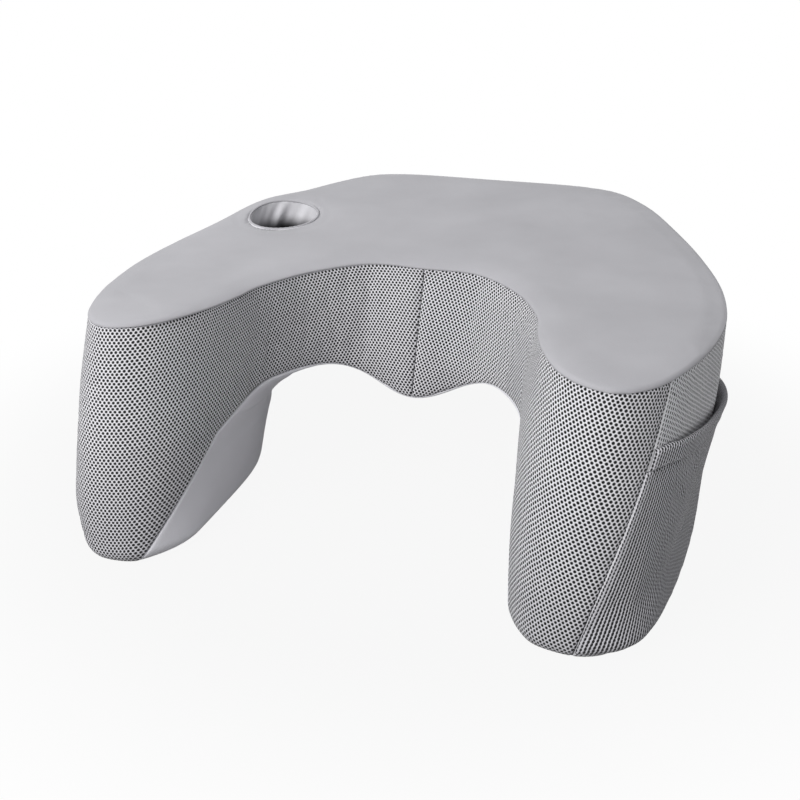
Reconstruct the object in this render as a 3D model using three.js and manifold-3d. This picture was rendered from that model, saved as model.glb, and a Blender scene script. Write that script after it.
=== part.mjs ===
// A lap desk pillow: a foam bridge that stands over the thighs on two legs, with a curved cut-out for the
// belly, inside a sewn cover with a knit top, air-mesh walls, a cup well, a side pocket and a back zip.
// Millimetres, +Z up, the user sits at -Y. The origin is under the middle of the part, on the floor.

import * as THREE from 'three';
import { mergeVertices } from 'three/addons/utils/BufferGeometryUtils.js';
import Module from 'manifold-3d';

const wasm = await Module();
wasm.setup();

// Plan of the right half at the top seam, from the middle of the belly curve round the arm to the middle of
// the back: x, y, and how far the foot of the wall stands forward and inward of its seam.
const HALF_PLAN = [
  [0, 0, 54, 0],
  [52, -1, 54, 0],
  [98, -38, 54, 0],
  [126, -90, 58, 0],
  [132, -120, 70, 0],
  [142, -154, 88, 0],
  [162, -193, 80, 0],
  [184, -212, 63, 0],
  [208, -216, 61, 0],
  [230, -199, 65, 1],
  [246, -170, 58, 3],
  [264, -114, 26, 5],
  [274, -44, 4, 8],
  [268, 26, 0, 8],
  [246, 96, 0, 8],
  [215, 165, 0, 5],
  [181, 226, 0, 2],
  [146, 262, 0, 0],
  [112, 273, 0, 0],
  [0, 274, 0, 0],
];
const SAMPLES_PER_SPAN = 2;

// Walls and top
const SEAM_HEIGHT = 186;
const TOP_SLOPE = 0.1;
const TOP_SLOPE_BLEND = 60;
const TOP_CROWN = 4;
const EDGE_ROLL = 5.5;
const EDGE_SKIRT = 2;
const WALL_BULGE = 4;
const FOOT_TAPER = 2;
const FOOT_RADIUS = 12;
const FOOT_FLAT = 1.5;

// Cover and clearances
const MESH_THICKNESS = 3;
const KNIT_THICKNESS = 2.4;
const GAP = 0.3;
const SEAM_GAP = 0.4;

// Seams between the front and side meshes, as places along the plan counted in plan points
const SIDE_SEAM_FOOT = 7.6;
const SIDE_SEAM_TOP = 9.7;
const BACK_PANEL_HALF = 124;
const LINING_SEAM_FOOT = 5.95;
const LINING_SEAM_TOP = 4.35;
const LINING_FLAP_HEIGHT = 85;
const LINING_FLAP_REAR = -100;

// Thigh tunnel
const TUNNEL_HALF = 141;
const TUNNEL_DRAFT = 8;
const ARCH_HEIGHT = 107;
const RIDGE_HEIGHT = 77;
const RIDGE_HALF = 90;
const CORNER_WIDTH = 20;
const CORNER_DROP = 44;
const CORNER_FLARE = 0.6;
const FLARE_SLOPE = 0.5;
const FLARE_START = -58;
const FLARE_BLEND = 30;
const FLOOR_FLARE_LEAD = 40;

// Cup well
const CUP_X = -185;
const CUP_Y = 95;
const CUP_RADIUS = 38;
const CUP_DEPTH = 72;
const SLEEVE_WALL = 4;
const SLEEVE_FOLDS = 6;
const FOLD_DEPTH = 1.4;
const FOLD_TWIST = 0.6;
const RIM_WIDTH = 3;
const RIM_STAND = 1.2;
const CUP_SIDES = 36;

// Side pocket, on the right leg
const POCKET_REAR = 14.2;
const MOUTH_FRONT = 146;
const MOUTH_REAR = 94;
const POCKET_FOOT = 8;
const POCKET_GAPE = 8;
const GAPE_PLACE = 0.78;
const HEM_HEIGHT = 14;
const HEM_EXTRA = 1.2;

// Zip across the back
const ZIP_LENGTH = 216;
const TAPE_HEIGHT = 14;
const TAPE_THICKNESS = 1.2;
const TAPE_RECESS = 1.2;
const COIL_RADIUS = 1.1;
const COIL_SPACING = 1.3;
const SLIDER_LENGTH = 11;
const SLIDER_HEIGHT = 8;
const SLIDER_PLATE = 1.2;
const SLIDER_POST = 0.7;
const STOP_LENGTH = 3;
const PULL_LENGTH = 26;
const PULL_WIDTH = 7;
const PULL_THICKNESS = 1.4;
const PIN_RADIUS = 0.7;
const EYE_RADIUS = 2;
const EYE_WIDTH = 3;
const LUG_WIDTH = 1;

// Reach of the cutting shapes past the part, above it and into its walls
const HALF_WIDTH = Math.max(...HALF_PLAN.map(([x]) => x));
const BACK_LINE = Math.max(...HALF_PLAN.map(([, y]) => y));
const FAR = 1.5 * HALF_WIDTH;
const OVER = 60;
const CUT_OUT = 60;
const CUT_IN = -12;
const BELLY_ROOM = 70;

// Solids from geometry, and back
function solidOf(geometry) {
  const bare = new THREE.BufferGeometry();
  bare.setAttribute('position', geometry.getAttribute('position'));
  bare.setIndex(geometry.getIndex());
  const merged = mergeVertices(bare, 1e-4);
  const mesh = new wasm.Mesh({
    numProp: 3,
    vertProperties: new Float32Array(merged.getAttribute('position').array),
    triVerts: new Uint32Array(merged.getIndex().array),
  });
  mesh.merge();
  return new wasm.Manifold(mesh);
}

function geometryOf(solid) {
  const mesh = solid.getMesh();
  const geometry = new THREE.BufferGeometry();
  geometry.setAttribute('position', new THREE.BufferAttribute(new Float32Array(mesh.vertProperties), 3));
  geometry.setIndex(new THREE.BufferAttribute(new Uint32Array(mesh.triVerts), 1));
  geometry.computeVertexNormals();
  return geometry;
}

// A closed skin over rings of equal count, each counter-clockwise from above, lowest first.
function loft(rings) {
  const count = rings[0].length;
  const index = [];
  for (let k = 0; k + 1 < rings.length; k += 1) {
    for (let i = 0; i < count; i += 1) {
      const j = (i + 1) % count;
      const low = k * count;
      const high = low + count;
      index.push(low + i, low + j, high + j, low + i, high + j, high + i);
    }
  }
  const flat = (ring) => ring.map((p) => new THREE.Vector2(p.x, p.y));
  const last = (rings.length - 1) * count;
  for (const [a, b, c] of THREE.ShapeUtils.triangulateShape(flat(rings[0]), [])) {
    index.push(a, c, b);
  }
  for (const [a, b, c] of THREE.ShapeUtils.triangulateShape(flat(rings[rings.length - 1]), [])) {
    index.push(last + a, last + b, last + c);
  }
  const geometry = new THREE.BufferGeometry();
  const points = rings.flat().flatMap((p) => p.toArray());
  geometry.setAttribute('position', new THREE.Float32BufferAttribute(points, 3));
  geometry.setIndex(index);
  return geometry;
}

function box(x0, x1, y0, y1, z0, z1) {
  const geometry = new THREE.BoxGeometry(x1 - x0, y1 - y0, z1 - z0);
  return geometry.translate((x0 + x1) / 2, (y0 + y1) / 2, (z0 + z1) / 2);
}

function mirrored(ring) {
  return ring.map((p) => new THREE.Vector3(-p.x, p.y, p.z)).reverse();
}

// Plan of the walls at a height
function planCurve(height) {
  const share = Math.max(0, 1 - height / SEAM_HEIGHT);
  const right = HALF_PLAN.map(([x, y, forward, inward]) => (
    new THREE.Vector3(x - inward * share, y - forward * share, 0)
  ));
  const left = right.slice(1, -1).reverse().map((p) => new THREE.Vector3(-p.x, p.y, 0));
  return new THREE.CatmullRomCurve3([...right, ...left], true, 'centripetal');
}

function outline(height, growAt) {
  const curve = planCurve(height);
  const count = curve.points.length * SAMPLES_PER_SPAN;
  return Array.from({ length: count }, (_, i) => {
    const point = curve.getPoint(i / count);
    const along = curve.getTangent(i / count);
    const grow = growAt(i / SAMPLES_PER_SPAN);
    return new THREE.Vector3(point.x + along.y * grow, point.y - along.x * grow, height);
  });
}

// How far the walls swell at mid height and draw in at the foot.
function bulge(height) {
  const share = THREE.MathUtils.clamp(height / SEAM_HEIGHT, 0, 1);
  return WALL_BULGE * Math.sin(Math.PI * share) - FOOT_TAPER * (1 - share) ** 2;
}

function footInset(height) {
  if (height >= FOOT_RADIUS) {
    return 0;
  }
  return FOOT_RADIUS - Math.sqrt(FOOT_RADIUS ** 2 - (FOOT_RADIUS - height) ** 2);
}

const LEVELS = [
  FOOT_FLAT,
  0.4 * FOOT_RADIUS,
  FOOT_RADIUS,
  THREE.MathUtils.lerp(FOOT_RADIUS, SEAM_HEIGHT, 1 / 3),
  THREE.MathUtils.lerp(FOOT_RADIUS, SEAM_HEIGHT, 2 / 3),
  SEAM_HEIGHT,
  SEAM_HEIGHT + OVER,
];

// The block of the whole pillow with rounded feet, drawn in by an inset, with its underside raised, and
// with its walls standing out where a stand-off is given.
function block(inset, raise, standAt = () => 0) {
  const rings = LEVELS.map((height) => {
    const wall = bulge(height) - footInset(height) - inset;
    const ring = outline(height, (place) => wall + standAt(place, height));
    const stretch = (FOOT_RADIUS - raise) / (FOOT_RADIUS - FOOT_FLAT);
    const z = height < FOOT_RADIUS ? raise + (height - FOOT_FLAT) * stretch : height;
    return ring.map((p) => new THREE.Vector3(p.x, p.y, z));
  });
  return solidOf(loft(rings));
}

// Height of the top seam surface, level over the arms and rising to the back, with a crown across.
function topHeight(x, y) {
  const rise = TOP_SLOPE * 0.5 * (y + Math.hypot(y, TOP_SLOPE_BLEND));
  return SEAM_HEIGHT + rise + TOP_CROWN * (1 - (x / HALF_WIDTH) ** 2);
}

// All the space higher than a distance above the top seam surface.
function lid(above) {
  const geometry = new THREE.BoxGeometry(2 * FAR, 2 * FAR, OVER, 6, 10, 1);
  const position = geometry.getAttribute('position');
  for (let i = 0; i < position.count; i += 1) {
    const low = position.getZ(i) < 0;
    const height = topHeight(position.getX(i), position.getY(i)) + above;
    position.setZ(i, low ? height : SEAM_HEIGHT + FAR);
  }
  return solidOf(geometry);
}

// The rolled edge of the top, a quarter round from the seam up to a height above it, on a short skirt.
function crownBlock(inset, drop) {
  const reach = EDGE_ROLL - drop;
  const edge = (roll, heightAt) => outline(SEAM_HEIGHT, () => -inset - roll)
    .map((p) => new THREE.Vector3(p.x, p.y, heightAt(p)));
  const skirt = edge(0, () => SEAM_HEIGHT - EDGE_SKIRT);
  const round = [0, 0.5, 1].map((share) => {
    const turn = (Math.PI / 2) * share;
    const roll = EDGE_ROLL * (1 - Math.cos(turn));
    return edge(roll, (p) => topHeight(p.x, p.y) + reach * Math.sin(turn));
  });
  const above = edge(EDGE_ROLL, () => SEAM_HEIGHT + 2 * OVER);
  return solidOf(loft([skirt, ...round, above])).subtract(lid(reach));
}

// How far the tunnel has widened at a distance from the front.
function tunnelFlare(y) {
  const run = y - FLARE_START;
  return FLARE_SLOPE * 0.5 * (run + Math.hypot(run, FLARE_BLEND));
}

// Cross-section of the thigh tunnel at a distance from the front, widened by a growth, floor to ridge. The
// floor's edge starts to flare ahead of the rest.
function tunnelRing(y, grow) {
  const flare = tunnelFlare(y);
  const half = TUNNEL_HALF + grow + flare;
  const floorHalf = TUNNEL_HALF + grow + tunnelFlare(y + FLOOR_FLARE_LEAD);
  const corner = CORNER_WIDTH + CORNER_FLARE * flare;
  const crown = ARCH_HEIGHT + grow;
  const right = [[floorHalf, -FAR], [floorHalf, 0]];
  for (const share of [0, 0.25, 0.5, 0.75, 1]) {
    const turn = (Math.PI / 2) * share;
    const x = half - TUNNEL_DRAFT - corner * (1 - Math.cos(turn));
    right.push([x, crown - CORNER_DROP * (1 - Math.sin(turn))]);
  }
  for (const share of [1, 0.75, 0.5, 0.25, 0]) {
    const lift = 0.5 * (ARCH_HEIGHT - RIDGE_HEIGHT) * (1 - Math.cos(Math.PI * share));
    right.push([RIDGE_HALF * share, RIDGE_HEIGHT + grow + lift]);
  }
  const left = right.slice(0, -1).reverse().map(([x, z]) => [-x, z]);
  return [...right, ...left].map(([x, z]) => new THREE.Vector3(x, z, -y));
}

const TUNNEL_STATIONS = [
  FAR,
  ...[4.2, 3.2, 2.5, 1.8, 1.2, 0.6, -0.1, -0.8, -1.5, -2.3].map((share) => FLARE_START + share * FLARE_BLEND),
  -FAR,
];

function tunnel(grow) {
  const rings = TUNNEL_STATIONS.map((y) => tunnelRing(y, grow));
  return solidOf(loft(rings).rotateX(Math.PI / 2));
}

// The side seam and the pocket's rear edge, as places on the plan that change with the height
function seamPlace(height) {
  return THREE.MathUtils.lerp(SIDE_SEAM_FOOT, SIDE_SEAM_TOP, height / SEAM_HEIGHT);
}

function wallPoint(place, height, out, along) {
  const curve = planCurve(height);
  const t = place / curve.points.length;
  const point = curve.getPoint(t);
  const way = curve.getTangent(t);
  const x = point.x + way.y * out + way.x * along;
  const y = point.y - way.x * out + way.y * along;
  return new THREE.Vector3(x, y, height);
}

const CUT_HEIGHTS = [-OVER, 0, SEAM_HEIGHT / 3, 2 * SEAM_HEIGHT / 3, SEAM_HEIGHT, SEAM_HEIGHT + OVER];
const armInner = HALF_PLAN[4];
const armOuter = HALF_PLAN[11];
const armMiddleX = (armInner[0] + armOuter[0]) / 2;
const armMiddleY = (armInner[1] + armOuter[1]) / 2;

// Everything in front of the right-hand side seam.
function frontRing(height, along) {
  const place = seamPlace(height);
  return [
    new THREE.Vector3(SEAM_GAP / 2, -FAR, height),
    new THREE.Vector3(wallPoint(place, height, CUT_OUT, along).x, -FAR, height),
    wallPoint(place, height, CUT_OUT, along),
    wallPoint(place, height, CUT_IN, along),
    new THREE.Vector3(armMiddleX, armMiddleY, height),
    new THREE.Vector3(armMiddleX, BELLY_ROOM, height),
    new THREE.Vector3(SEAM_GAP / 2, BELLY_ROOM, height),
  ];
}

function frontRegion(along, side) {
  const rings = CUT_HEIGHTS.map((height) => frontRing(height, along));
  return solidOf(loft(side > 0 ? rings : rings.map(mirrored)));
}

// The inner front corner of the right leg, where the lining is sewn round on to the front.
function flapRegion(along, side) {
  const rings = [-OVER, 0, LINING_FLAP_HEIGHT / 2, LINING_FLAP_HEIGHT].map((height) => {
    const share = Math.max(0, height / LINING_FLAP_HEIGHT);
    const place = THREE.MathUtils.lerp(LINING_SEAM_FOOT, LINING_SEAM_TOP, share);
    return [
      new THREE.Vector3(0, -FAR, height),
      wallPoint(place, height, CUT_OUT, along),
      wallPoint(place, height, CUT_IN, along),
      new THREE.Vector3(TUNNEL_HALF + MESH_THICKNESS, LINING_FLAP_REAR, height),
      new THREE.Vector3(0, LINING_FLAP_REAR, height),
    ];
  });
  return solidOf(loft(side > 0 ? rings : rings.map(mirrored)));
}

// Everything between the side seam and the pocket's rear edge, from a level foot up to a line below the
// mouth, which falls from the seam to the rear.
function pocketRegion(low, high) {
  const rings = [0, 1 / 3, 2 / 3, 1].map((share) => {
    const front = THREE.MathUtils.lerp(low(MOUTH_FRONT), high(MOUTH_FRONT), share);
    const rear = THREE.MathUtils.lerp(low(MOUTH_REAR), high(MOUTH_REAR), share);
    const frontIn = wallPoint(seamPlace(front), front, CUT_IN, SEAM_GAP / 2);
    const frontOut = wallPoint(seamPlace(front), front, CUT_OUT, SEAM_GAP / 2);
    const rearOut = wallPoint(POCKET_REAR, rear, CUT_OUT, 0);
    const rearIn = wallPoint(POCKET_REAR, rear, CUT_IN, 0);
    const far = [new THREE.Vector3(FAR, -FAR, front), new THREE.Vector3(FAR, rearOut.y, rear)];
    const fall = (rear - front) / (rearIn.y - frontIn.y);
    return [frontIn, frontOut, ...far, rearOut, rearIn]
      .map((p) => new THREE.Vector3(p.x, p.y, front + (p.y - frontIn.y) * fall));
  });
  return solidOf(loft(rings));
}

// The pocket's skin stands off the wall most along its mouth, well on the way to its rear edge.
function pocketStand(place, height) {
  const start = seamPlace(height);
  const share = THREE.MathUtils.clamp((place - start) / (POCKET_REAR - start), 0, 1);
  const lift = THREE.MathUtils.clamp((height - POCKET_FOOT) / (MOUTH_FRONT - POCKET_FOOT), 0, 1);
  const swell = (share / GAPE_PLACE) ** (GAPE_PLACE / (1 - GAPE_PLACE));
  return POCKET_GAPE * swell * ((1 - share) / (1 - GAPE_PLACE)) * lift;
}

function pocketBlock(out) {
  return block(-out, 0, pocketStand);
}

// Cover walls, soles, tunnel lining and top
const tunnelSpace = tunnel(0);
const liningSpace = tunnel(KNIT_THICKNESS);
const liningClear = tunnel(KNIT_THICKNESS + GAP);
const aboveSeam = lid(0);

function soleSlab(grow, low, high) {
  const edge = outline(FOOT_FLAT, () => grow - footInset(FOOT_FLAT) - MESH_THICKNESS);
  const shape = new THREE.Shape(edge.map((p) => new THREE.Vector2(p.x, p.y)));
  const slab = new THREE.ExtrudeGeometry(shape, { depth: high - low, bevelEnabled: false });
  return solidOf(slab.translate(0, 0, low));
}

const soleHole = soleSlab(GAP, -GAP, KNIT_THICKNESS + GAP);
const rightHalf = solidOf(box(SEAM_GAP / 2, FAR, -FAR, FAR, -FAR, FAR));
const leftHalf = solidOf(box(-FAR, -SEAM_GAP / 2, -FAR, FAR, -FAR, FAR));

const cover = block(0, 0);
const shell = cover.subtract(block(MESH_THICKNESS, KNIT_THICKNESS));
const skin = shell.subtract(soleHole).subtract(tunnelSpace).subtract(aboveSeam);
const flaps = flapRegion(-SEAM_GAP / 2, 1).add(flapRegion(-SEAM_GAP / 2, -1));
const walls = skin.subtract(flapRegion(SEAM_GAP / 2, 1)).subtract(flapRegion(SEAM_GAP / 2, -1));
const soles = soleSlab(0, 0, KNIT_THICKNESS).subtract(tunnelSpace);

function backRegion(grow) {
  const half = BACK_PANEL_HALF + grow;
  return solidOf(box(-half, half, BACK_LINE / 2, FAR, -FAR, FAR));
}

const frontRight = walls.intersect(frontRegion(-SEAM_GAP / 2, 1));
const frontLeft = walls.intersect(frontRegion(-SEAM_GAP / 2, -1));
const sides = walls.subtract(backRegion(SEAM_GAP))
  .subtract(frontRegion(SEAM_GAP / 2, 1))
  .subtract(frontRegion(SEAM_GAP / 2, -1))
  .subtract(solidOf(box(-SEAM_GAP, SEAM_GAP, -FAR, BELLY_ROOM, -FAR, FAR)));
const tunnelSkin = cover.intersect(liningSpace).subtract(tunnelSpace);
const lining = tunnelSkin.intersect(block(MESH_THICKNESS + GAP, KNIT_THICKNESS + GAP))
  .add(skin.intersect(flaps))
  .add(tunnelSkin.subtract(soleHole).intersect(flaps));
const topSkin = crownBlock(0, 0)
  .intersect(lid(GAP))
  .subtract(crownBlock(KNIT_THICKNESS, KNIT_THICKNESS));

// Cup well, cut through the top into the foam
const cupTop = topHeight(CUP_X, CUP_Y) + EDGE_ROLL;
const cupFloor = cupTop - CUP_DEPTH;
const sleeveRadius = CUP_RADIUS + SLEEVE_WALL;
const rimRadius = CUP_RADIUS + RIM_WIDTH;

function cupCylinder(radius, low, high) {
  const geometry = new THREE.CylinderGeometry(radius, radius, high - low, CUP_SIDES);
  return geometry.rotateX(Math.PI / 2).translate(CUP_X, CUP_Y, (low + high) / 2);
}

// A turned ring whose upper parts follow the slope of the top round the well.
function cupRing(profile, foldAt) {
  const geometry = new THREE.LatheGeometry(profile.map(([r, z]) => new THREE.Vector2(r, z)), CUP_SIDES);
  geometry.rotateX(Math.PI / 2);
  const position = geometry.getAttribute('position');
  for (let i = 0; i < position.count; i += 1) {
    const angle = Math.atan2(position.getY(i), position.getX(i));
    const radius = Math.hypot(position.getX(i), position.getY(i));
    const height = position.getZ(i);
    const bent = radius + foldAt(radius, angle, height);
    const x = CUP_X + bent * Math.cos(angle);
    const y = CUP_Y + bent * Math.sin(angle);
    const tilt = topHeight(x, y) - topHeight(CUP_X, CUP_Y);
    position.setXYZ(i, x, y, cupFloor + height + tilt * (height / CUP_DEPTH));
  }
  return geometry;
}

const sleeveTop = CUP_DEPTH - KNIT_THICKNESS - GAP;
const sleeveFoot = -KNIT_THICKNESS;
const sleeveLevels = [0, 0.25, 0.5, 0.75, 1].map((share) => sleeveFoot + share * (sleeveTop - sleeveFoot));
const sleeveProfile = [
  ...sleeveLevels.map((z) => [sleeveRadius, z]),
  ...sleeveLevels.slice().reverse().map((z) => [CUP_RADIUS, z]),
];
const sleeve = cupRing([...sleeveProfile, sleeveProfile[0]], (radius, angle, height) => {
  const depth = radius < sleeveRadius - GAP ? FOLD_DEPTH : 0;
  return depth * Math.cos(SLEEVE_FOLDS * angle + FOLD_TWIST * 2 * Math.PI * (height / CUP_DEPTH));
});
const rimLow = CUP_DEPTH - KNIT_THICKNESS;
const rimHigh = CUP_DEPTH + RIM_STAND;
const rimProfile = [
  [CUP_RADIUS + GAP, rimLow],
  [rimRadius, rimLow],
  [rimRadius, CUP_DEPTH],
  [rimRadius - 0.3 * RIM_WIDTH, rimHigh],
  [CUP_RADIUS + 0.3 * RIM_WIDTH, rimHigh],
  [CUP_RADIUS, CUP_DEPTH],
  [CUP_RADIUS + GAP, rimLow],
];
const rim = cupRing(rimProfile, () => 0);
const cupHole = solidOf(cupCylinder(rimRadius + GAP, cupFloor, cupTop + OVER));
const wellHole = solidOf(cupCylinder(sleeveRadius + GAP, cupFloor - KNIT_THICKNESS - GAP, cupTop + OVER));
const baseRadius = CUP_RADIUS - FOLD_DEPTH - 2 * GAP;
const cupBase = cupCylinder(baseRadius, cupFloor - KNIT_THICKNESS, cupFloor);

// Zip across the back, with its slot, tapes, coils, slider, pull and stops
const zipZ = (ARCH_HEIGHT + topHeight(0, BACK_LINE)) / 2;
const backY = Math.max(...outline(zipZ, () => bulge(zipZ)).map((p) => p.y));
const tapeOut = backY - TAPE_RECESS;
const tapeIn = tapeOut - TAPE_THICKNESS;
const coilY = (tapeOut + tapeIn) / 2;
const coilZ = COIL_SPACING / 2 + COIL_RADIUS;
const coilEdge = coilZ + COIL_RADIUS;
const plateIn = coilY + COIL_RADIUS + GAP;
const plateOut = plateIn + SLIDER_PLATE;
const innerPlateOut = coilY - COIL_RADIUS - GAP;
const zipHalf = ZIP_LENGTH / 2;
const sliderRest = zipHalf - STOP_LENGTH - SLIDER_LENGTH / 2 - 2 * GAP;
const pinY = plateOut + GAP + EYE_RADIUS;
const pinZ = zipZ - SLIDER_HEIGHT / 4;

const slotReach = zipHalf + GAP;
const slotHalf = TAPE_HEIGHT + GAP;
const zipSlot = solidOf(box(-slotReach, slotReach, BACK_LINE / 2, FAR, zipZ - slotHalf, zipZ + slotHalf));
const zipLine = solidOf(box(-FAR, FAR, BACK_LINE / 2, FAR, zipZ - SEAM_GAP / 2, zipZ + SEAM_GAP / 2));
const foamRelief = solidOf(box(
  -slotReach,
  slotReach,
  innerPlateOut - SLIDER_PLATE - 2 * GAP,
  FAR,
  zipZ - SLIDER_HEIGHT / 2 - 2 * GAP,
  zipZ + SLIDER_HEIGHT / 2 + 2 * GAP,
));
const back = walls.intersect(backRegion(0)).subtract(zipSlot).subtract(zipLine);
const backUpper = back.intersect(solidOf(box(-FAR, FAR, 0, FAR, zipZ, FAR)));
const backLower = back.intersect(solidOf(box(-FAR, FAR, 0, FAR, -FAR, zipZ)));

function zipTape(side) {
  const near = side * (coilEdge + GAP);
  const far = side * TAPE_HEIGHT;
  return box(-zipHalf, zipHalf, tapeIn, tapeOut, zipZ + Math.min(near, far), zipZ + Math.max(near, far));
}

function zipCoil(side) {
  const coil = new THREE.CylinderGeometry(COIL_RADIUS, COIL_RADIUS, ZIP_LENGTH, 8);
  return coil.rotateZ(Math.PI / 2).translate(0, coilY, zipZ + side * coilZ);
}

function zipStop(side) {
  const outer = side * zipHalf;
  const inner = side * (zipHalf - STOP_LENGTH);
  const low = Math.min(outer, inner);
  const high = Math.max(outer, inner);
  return box(low, high, plateIn, plateOut, zipZ - coilEdge, zipZ + coilEdge);
}

function pinAlongX(radius, length) {
  const pin = new THREE.CylinderGeometry(radius, radius, length, 16);
  return pin.rotateZ(Math.PI / 2).translate(sliderRest, pinY, pinZ);
}

const sliderLow = sliderRest - SLIDER_LENGTH / 2;
const sliderHigh = sliderRest + SLIDER_LENGTH / 2;
const plateLow = zipZ - SLIDER_HEIGHT / 2;
const plateHigh = zipZ + SLIDER_HEIGHT / 2;
const lugIn = EYE_WIDTH / 2 + GAP;
const lugOut = lugIn + LUG_WIDTH;
const postHalf = SLIDER_POST / 2;
const lugs = [-1, 1].map((side) => {
  const near = sliderRest + side * lugIn;
  const far = sliderRest + side * lugOut;
  const reach = pinY + 2 * PIN_RADIUS;
  return solidOf(box(
    Math.min(near, far),
    Math.max(near, far),
    plateOut - SLIDER_PLATE / 2,
    reach,
    pinZ - 2 * PIN_RADIUS,
    pinZ + 2 * PIN_RADIUS,
  ));
});
const slider = solidOf(box(sliderLow, sliderHigh, plateIn, plateOut, plateLow, plateHigh))
  .add(solidOf(box(sliderLow, sliderHigh, innerPlateOut - SLIDER_PLATE, innerPlateOut, plateLow, plateHigh)))
  .add(solidOf(box(
    sliderRest,
    sliderHigh,
    innerPlateOut - GAP,
    plateIn + GAP,
    zipZ - postHalf,
    zipZ + postHalf,
  )))
  .add(lugs[0])
  .add(lugs[1])
  .add(solidOf(pinAlongX(PIN_RADIUS, 2 * lugOut - GAP)));
const pullHalf = PULL_THICKNESS / 2;
const pullTop = pinZ - EYE_RADIUS - 2 * PIN_RADIUS;
const pull = solidOf(pinAlongX(EYE_RADIUS, EYE_WIDTH))
  .add(solidOf(box(
    sliderRest - EYE_WIDTH / 2,
    sliderRest + EYE_WIDTH / 2,
    pinY - pullHalf,
    pinY + pullHalf,
    pullTop - GAP,
    pinZ,
  )))
  .add(solidOf(box(
    sliderRest - PULL_WIDTH / 2,
    sliderRest + PULL_WIDTH / 2,
    pinY - pullHalf,
    pinY + pullHalf,
    pinZ - PULL_LENGTH,
    pullTop,
  )))
  .subtract(solidOf(pinAlongX(PIN_RADIUS + GAP, 4 * EYE_WIDTH)));

// Pocket on the right leg: a panel and the folded hem along its mouth
const pocketInner = pocketBlock(GAP);
const pocketPanel = pocketBlock(GAP + MESH_THICKNESS)
  .subtract(pocketInner)
  .intersect(pocketRegion(() => POCKET_FOOT, (mouth) => mouth - HEM_HEIGHT - GAP));
const pocketHem = pocketBlock(GAP + MESH_THICKNESS + HEM_EXTRA)
  .subtract(pocketInner)
  .intersect(pocketRegion((mouth) => mouth - HEM_HEIGHT, (mouth) => mouth));

// Foam core, a gap inside the cover all round
const foam = block(MESH_THICKNESS + GAP, KNIT_THICKNESS + GAP)
  .subtract(aboveSeam)
  .add(crownBlock(MESH_THICKNESS + GAP, KNIT_THICKNESS + GAP))
  .subtract(liningClear)
  .subtract(wellHole)
  .subtract(foamRelief);

const part = new THREE.Group();

function place(name, geometry, color, roughness, metalness = 0) {
  const mesh = new THREE.Mesh(geometry, new THREE.MeshStandardMaterial({ color, roughness, metalness }));
  mesh.name = name;
  part.add(mesh);
}

place('foam_core', geometryOf(foam), 0xe9e2cf, 0.95);
place('top_panel', geometryOf(topSkin.subtract(cupHole)), 0xbdbcc0, 0.85);
place('front_mesh_left', geometryOf(frontLeft), 0x9a999e, 0.9);
place('front_mesh_right', geometryOf(frontRight), 0x9a999e, 0.9);
place('side_mesh_left', geometryOf(sides.intersect(leftHalf)), 0x8d8c91, 0.9);
place('side_mesh_right', geometryOf(sides.intersect(rightHalf)), 0x8d8c91, 0.9);
place('back_mesh_upper', geometryOf(backUpper), 0x8d8c91, 0.9);
place('back_mesh_lower', geometryOf(backLower), 0x8d8c91, 0.9);
place('tunnel_lining', geometryOf(lining), 0x98979c, 0.85);
place('sole_left', geometryOf(soles.intersect(leftHalf)), 0x98979c, 0.85);
place('sole_right', geometryOf(soles.intersect(rightHalf)), 0x98979c, 0.85);
place('cup_sleeve', sleeve, 0xa9a8ad, 0.85);
place('cup_base', cupBase, 0xa9a8ad, 0.85);
place('cup_rim', rim, 0xcfced2, 0.8);
place('pocket_panel', geometryOf(pocketPanel), 0x8d8c91, 0.9);
place('pocket_hem', geometryOf(pocketHem), 0x85848a, 0.9);
place('zip_tape_upper', zipTape(1), 0x77767b, 0.9);
place('zip_tape_lower', zipTape(-1), 0x77767b, 0.9);
place('zip_coil_upper', zipCoil(1), 0x6f6e73, 0.5);
place('zip_coil_lower', zipCoil(-1), 0x6f6e73, 0.5);
place('zip_slider', geometryOf(slider), 0x9c9ca0, 0.35, 0.9);
place('zip_pull', geometryOf(pull), 0x9c9ca0, 0.35, 0.9);
place('zip_stop_left', zipStop(-1), 0x9c9ca0, 0.4, 0.9);
place('zip_stop_right', zipStop(1), 0x9c9ca0, 0.4, 0.9);

const bounds = new THREE.Box3().setFromObject(part);
const middle = bounds.getCenter(new THREE.Vector3());
part.position.set(-middle.x, -middle.y, -bounds.min.z);
part.updateMatrixWorld(true);

export default part;
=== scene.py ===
import math
from functools import partial

import bmesh
import bpy
import numpy as np
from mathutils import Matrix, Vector
from numpy.linalg import norm


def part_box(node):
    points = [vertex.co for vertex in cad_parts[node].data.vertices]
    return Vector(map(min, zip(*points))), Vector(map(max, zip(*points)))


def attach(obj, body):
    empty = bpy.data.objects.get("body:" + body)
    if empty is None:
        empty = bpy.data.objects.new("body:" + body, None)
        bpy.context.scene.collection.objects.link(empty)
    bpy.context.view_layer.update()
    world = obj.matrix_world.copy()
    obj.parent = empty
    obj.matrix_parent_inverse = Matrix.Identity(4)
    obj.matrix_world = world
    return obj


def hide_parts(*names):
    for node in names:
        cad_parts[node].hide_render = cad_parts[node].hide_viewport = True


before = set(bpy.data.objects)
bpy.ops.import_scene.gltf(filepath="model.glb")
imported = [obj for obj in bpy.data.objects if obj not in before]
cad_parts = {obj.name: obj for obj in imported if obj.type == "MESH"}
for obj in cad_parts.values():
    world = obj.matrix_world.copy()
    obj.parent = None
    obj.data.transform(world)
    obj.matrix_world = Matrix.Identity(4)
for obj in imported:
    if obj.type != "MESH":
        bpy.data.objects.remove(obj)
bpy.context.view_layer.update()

scene = bpy.context.scene
MM = 0.001

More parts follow.
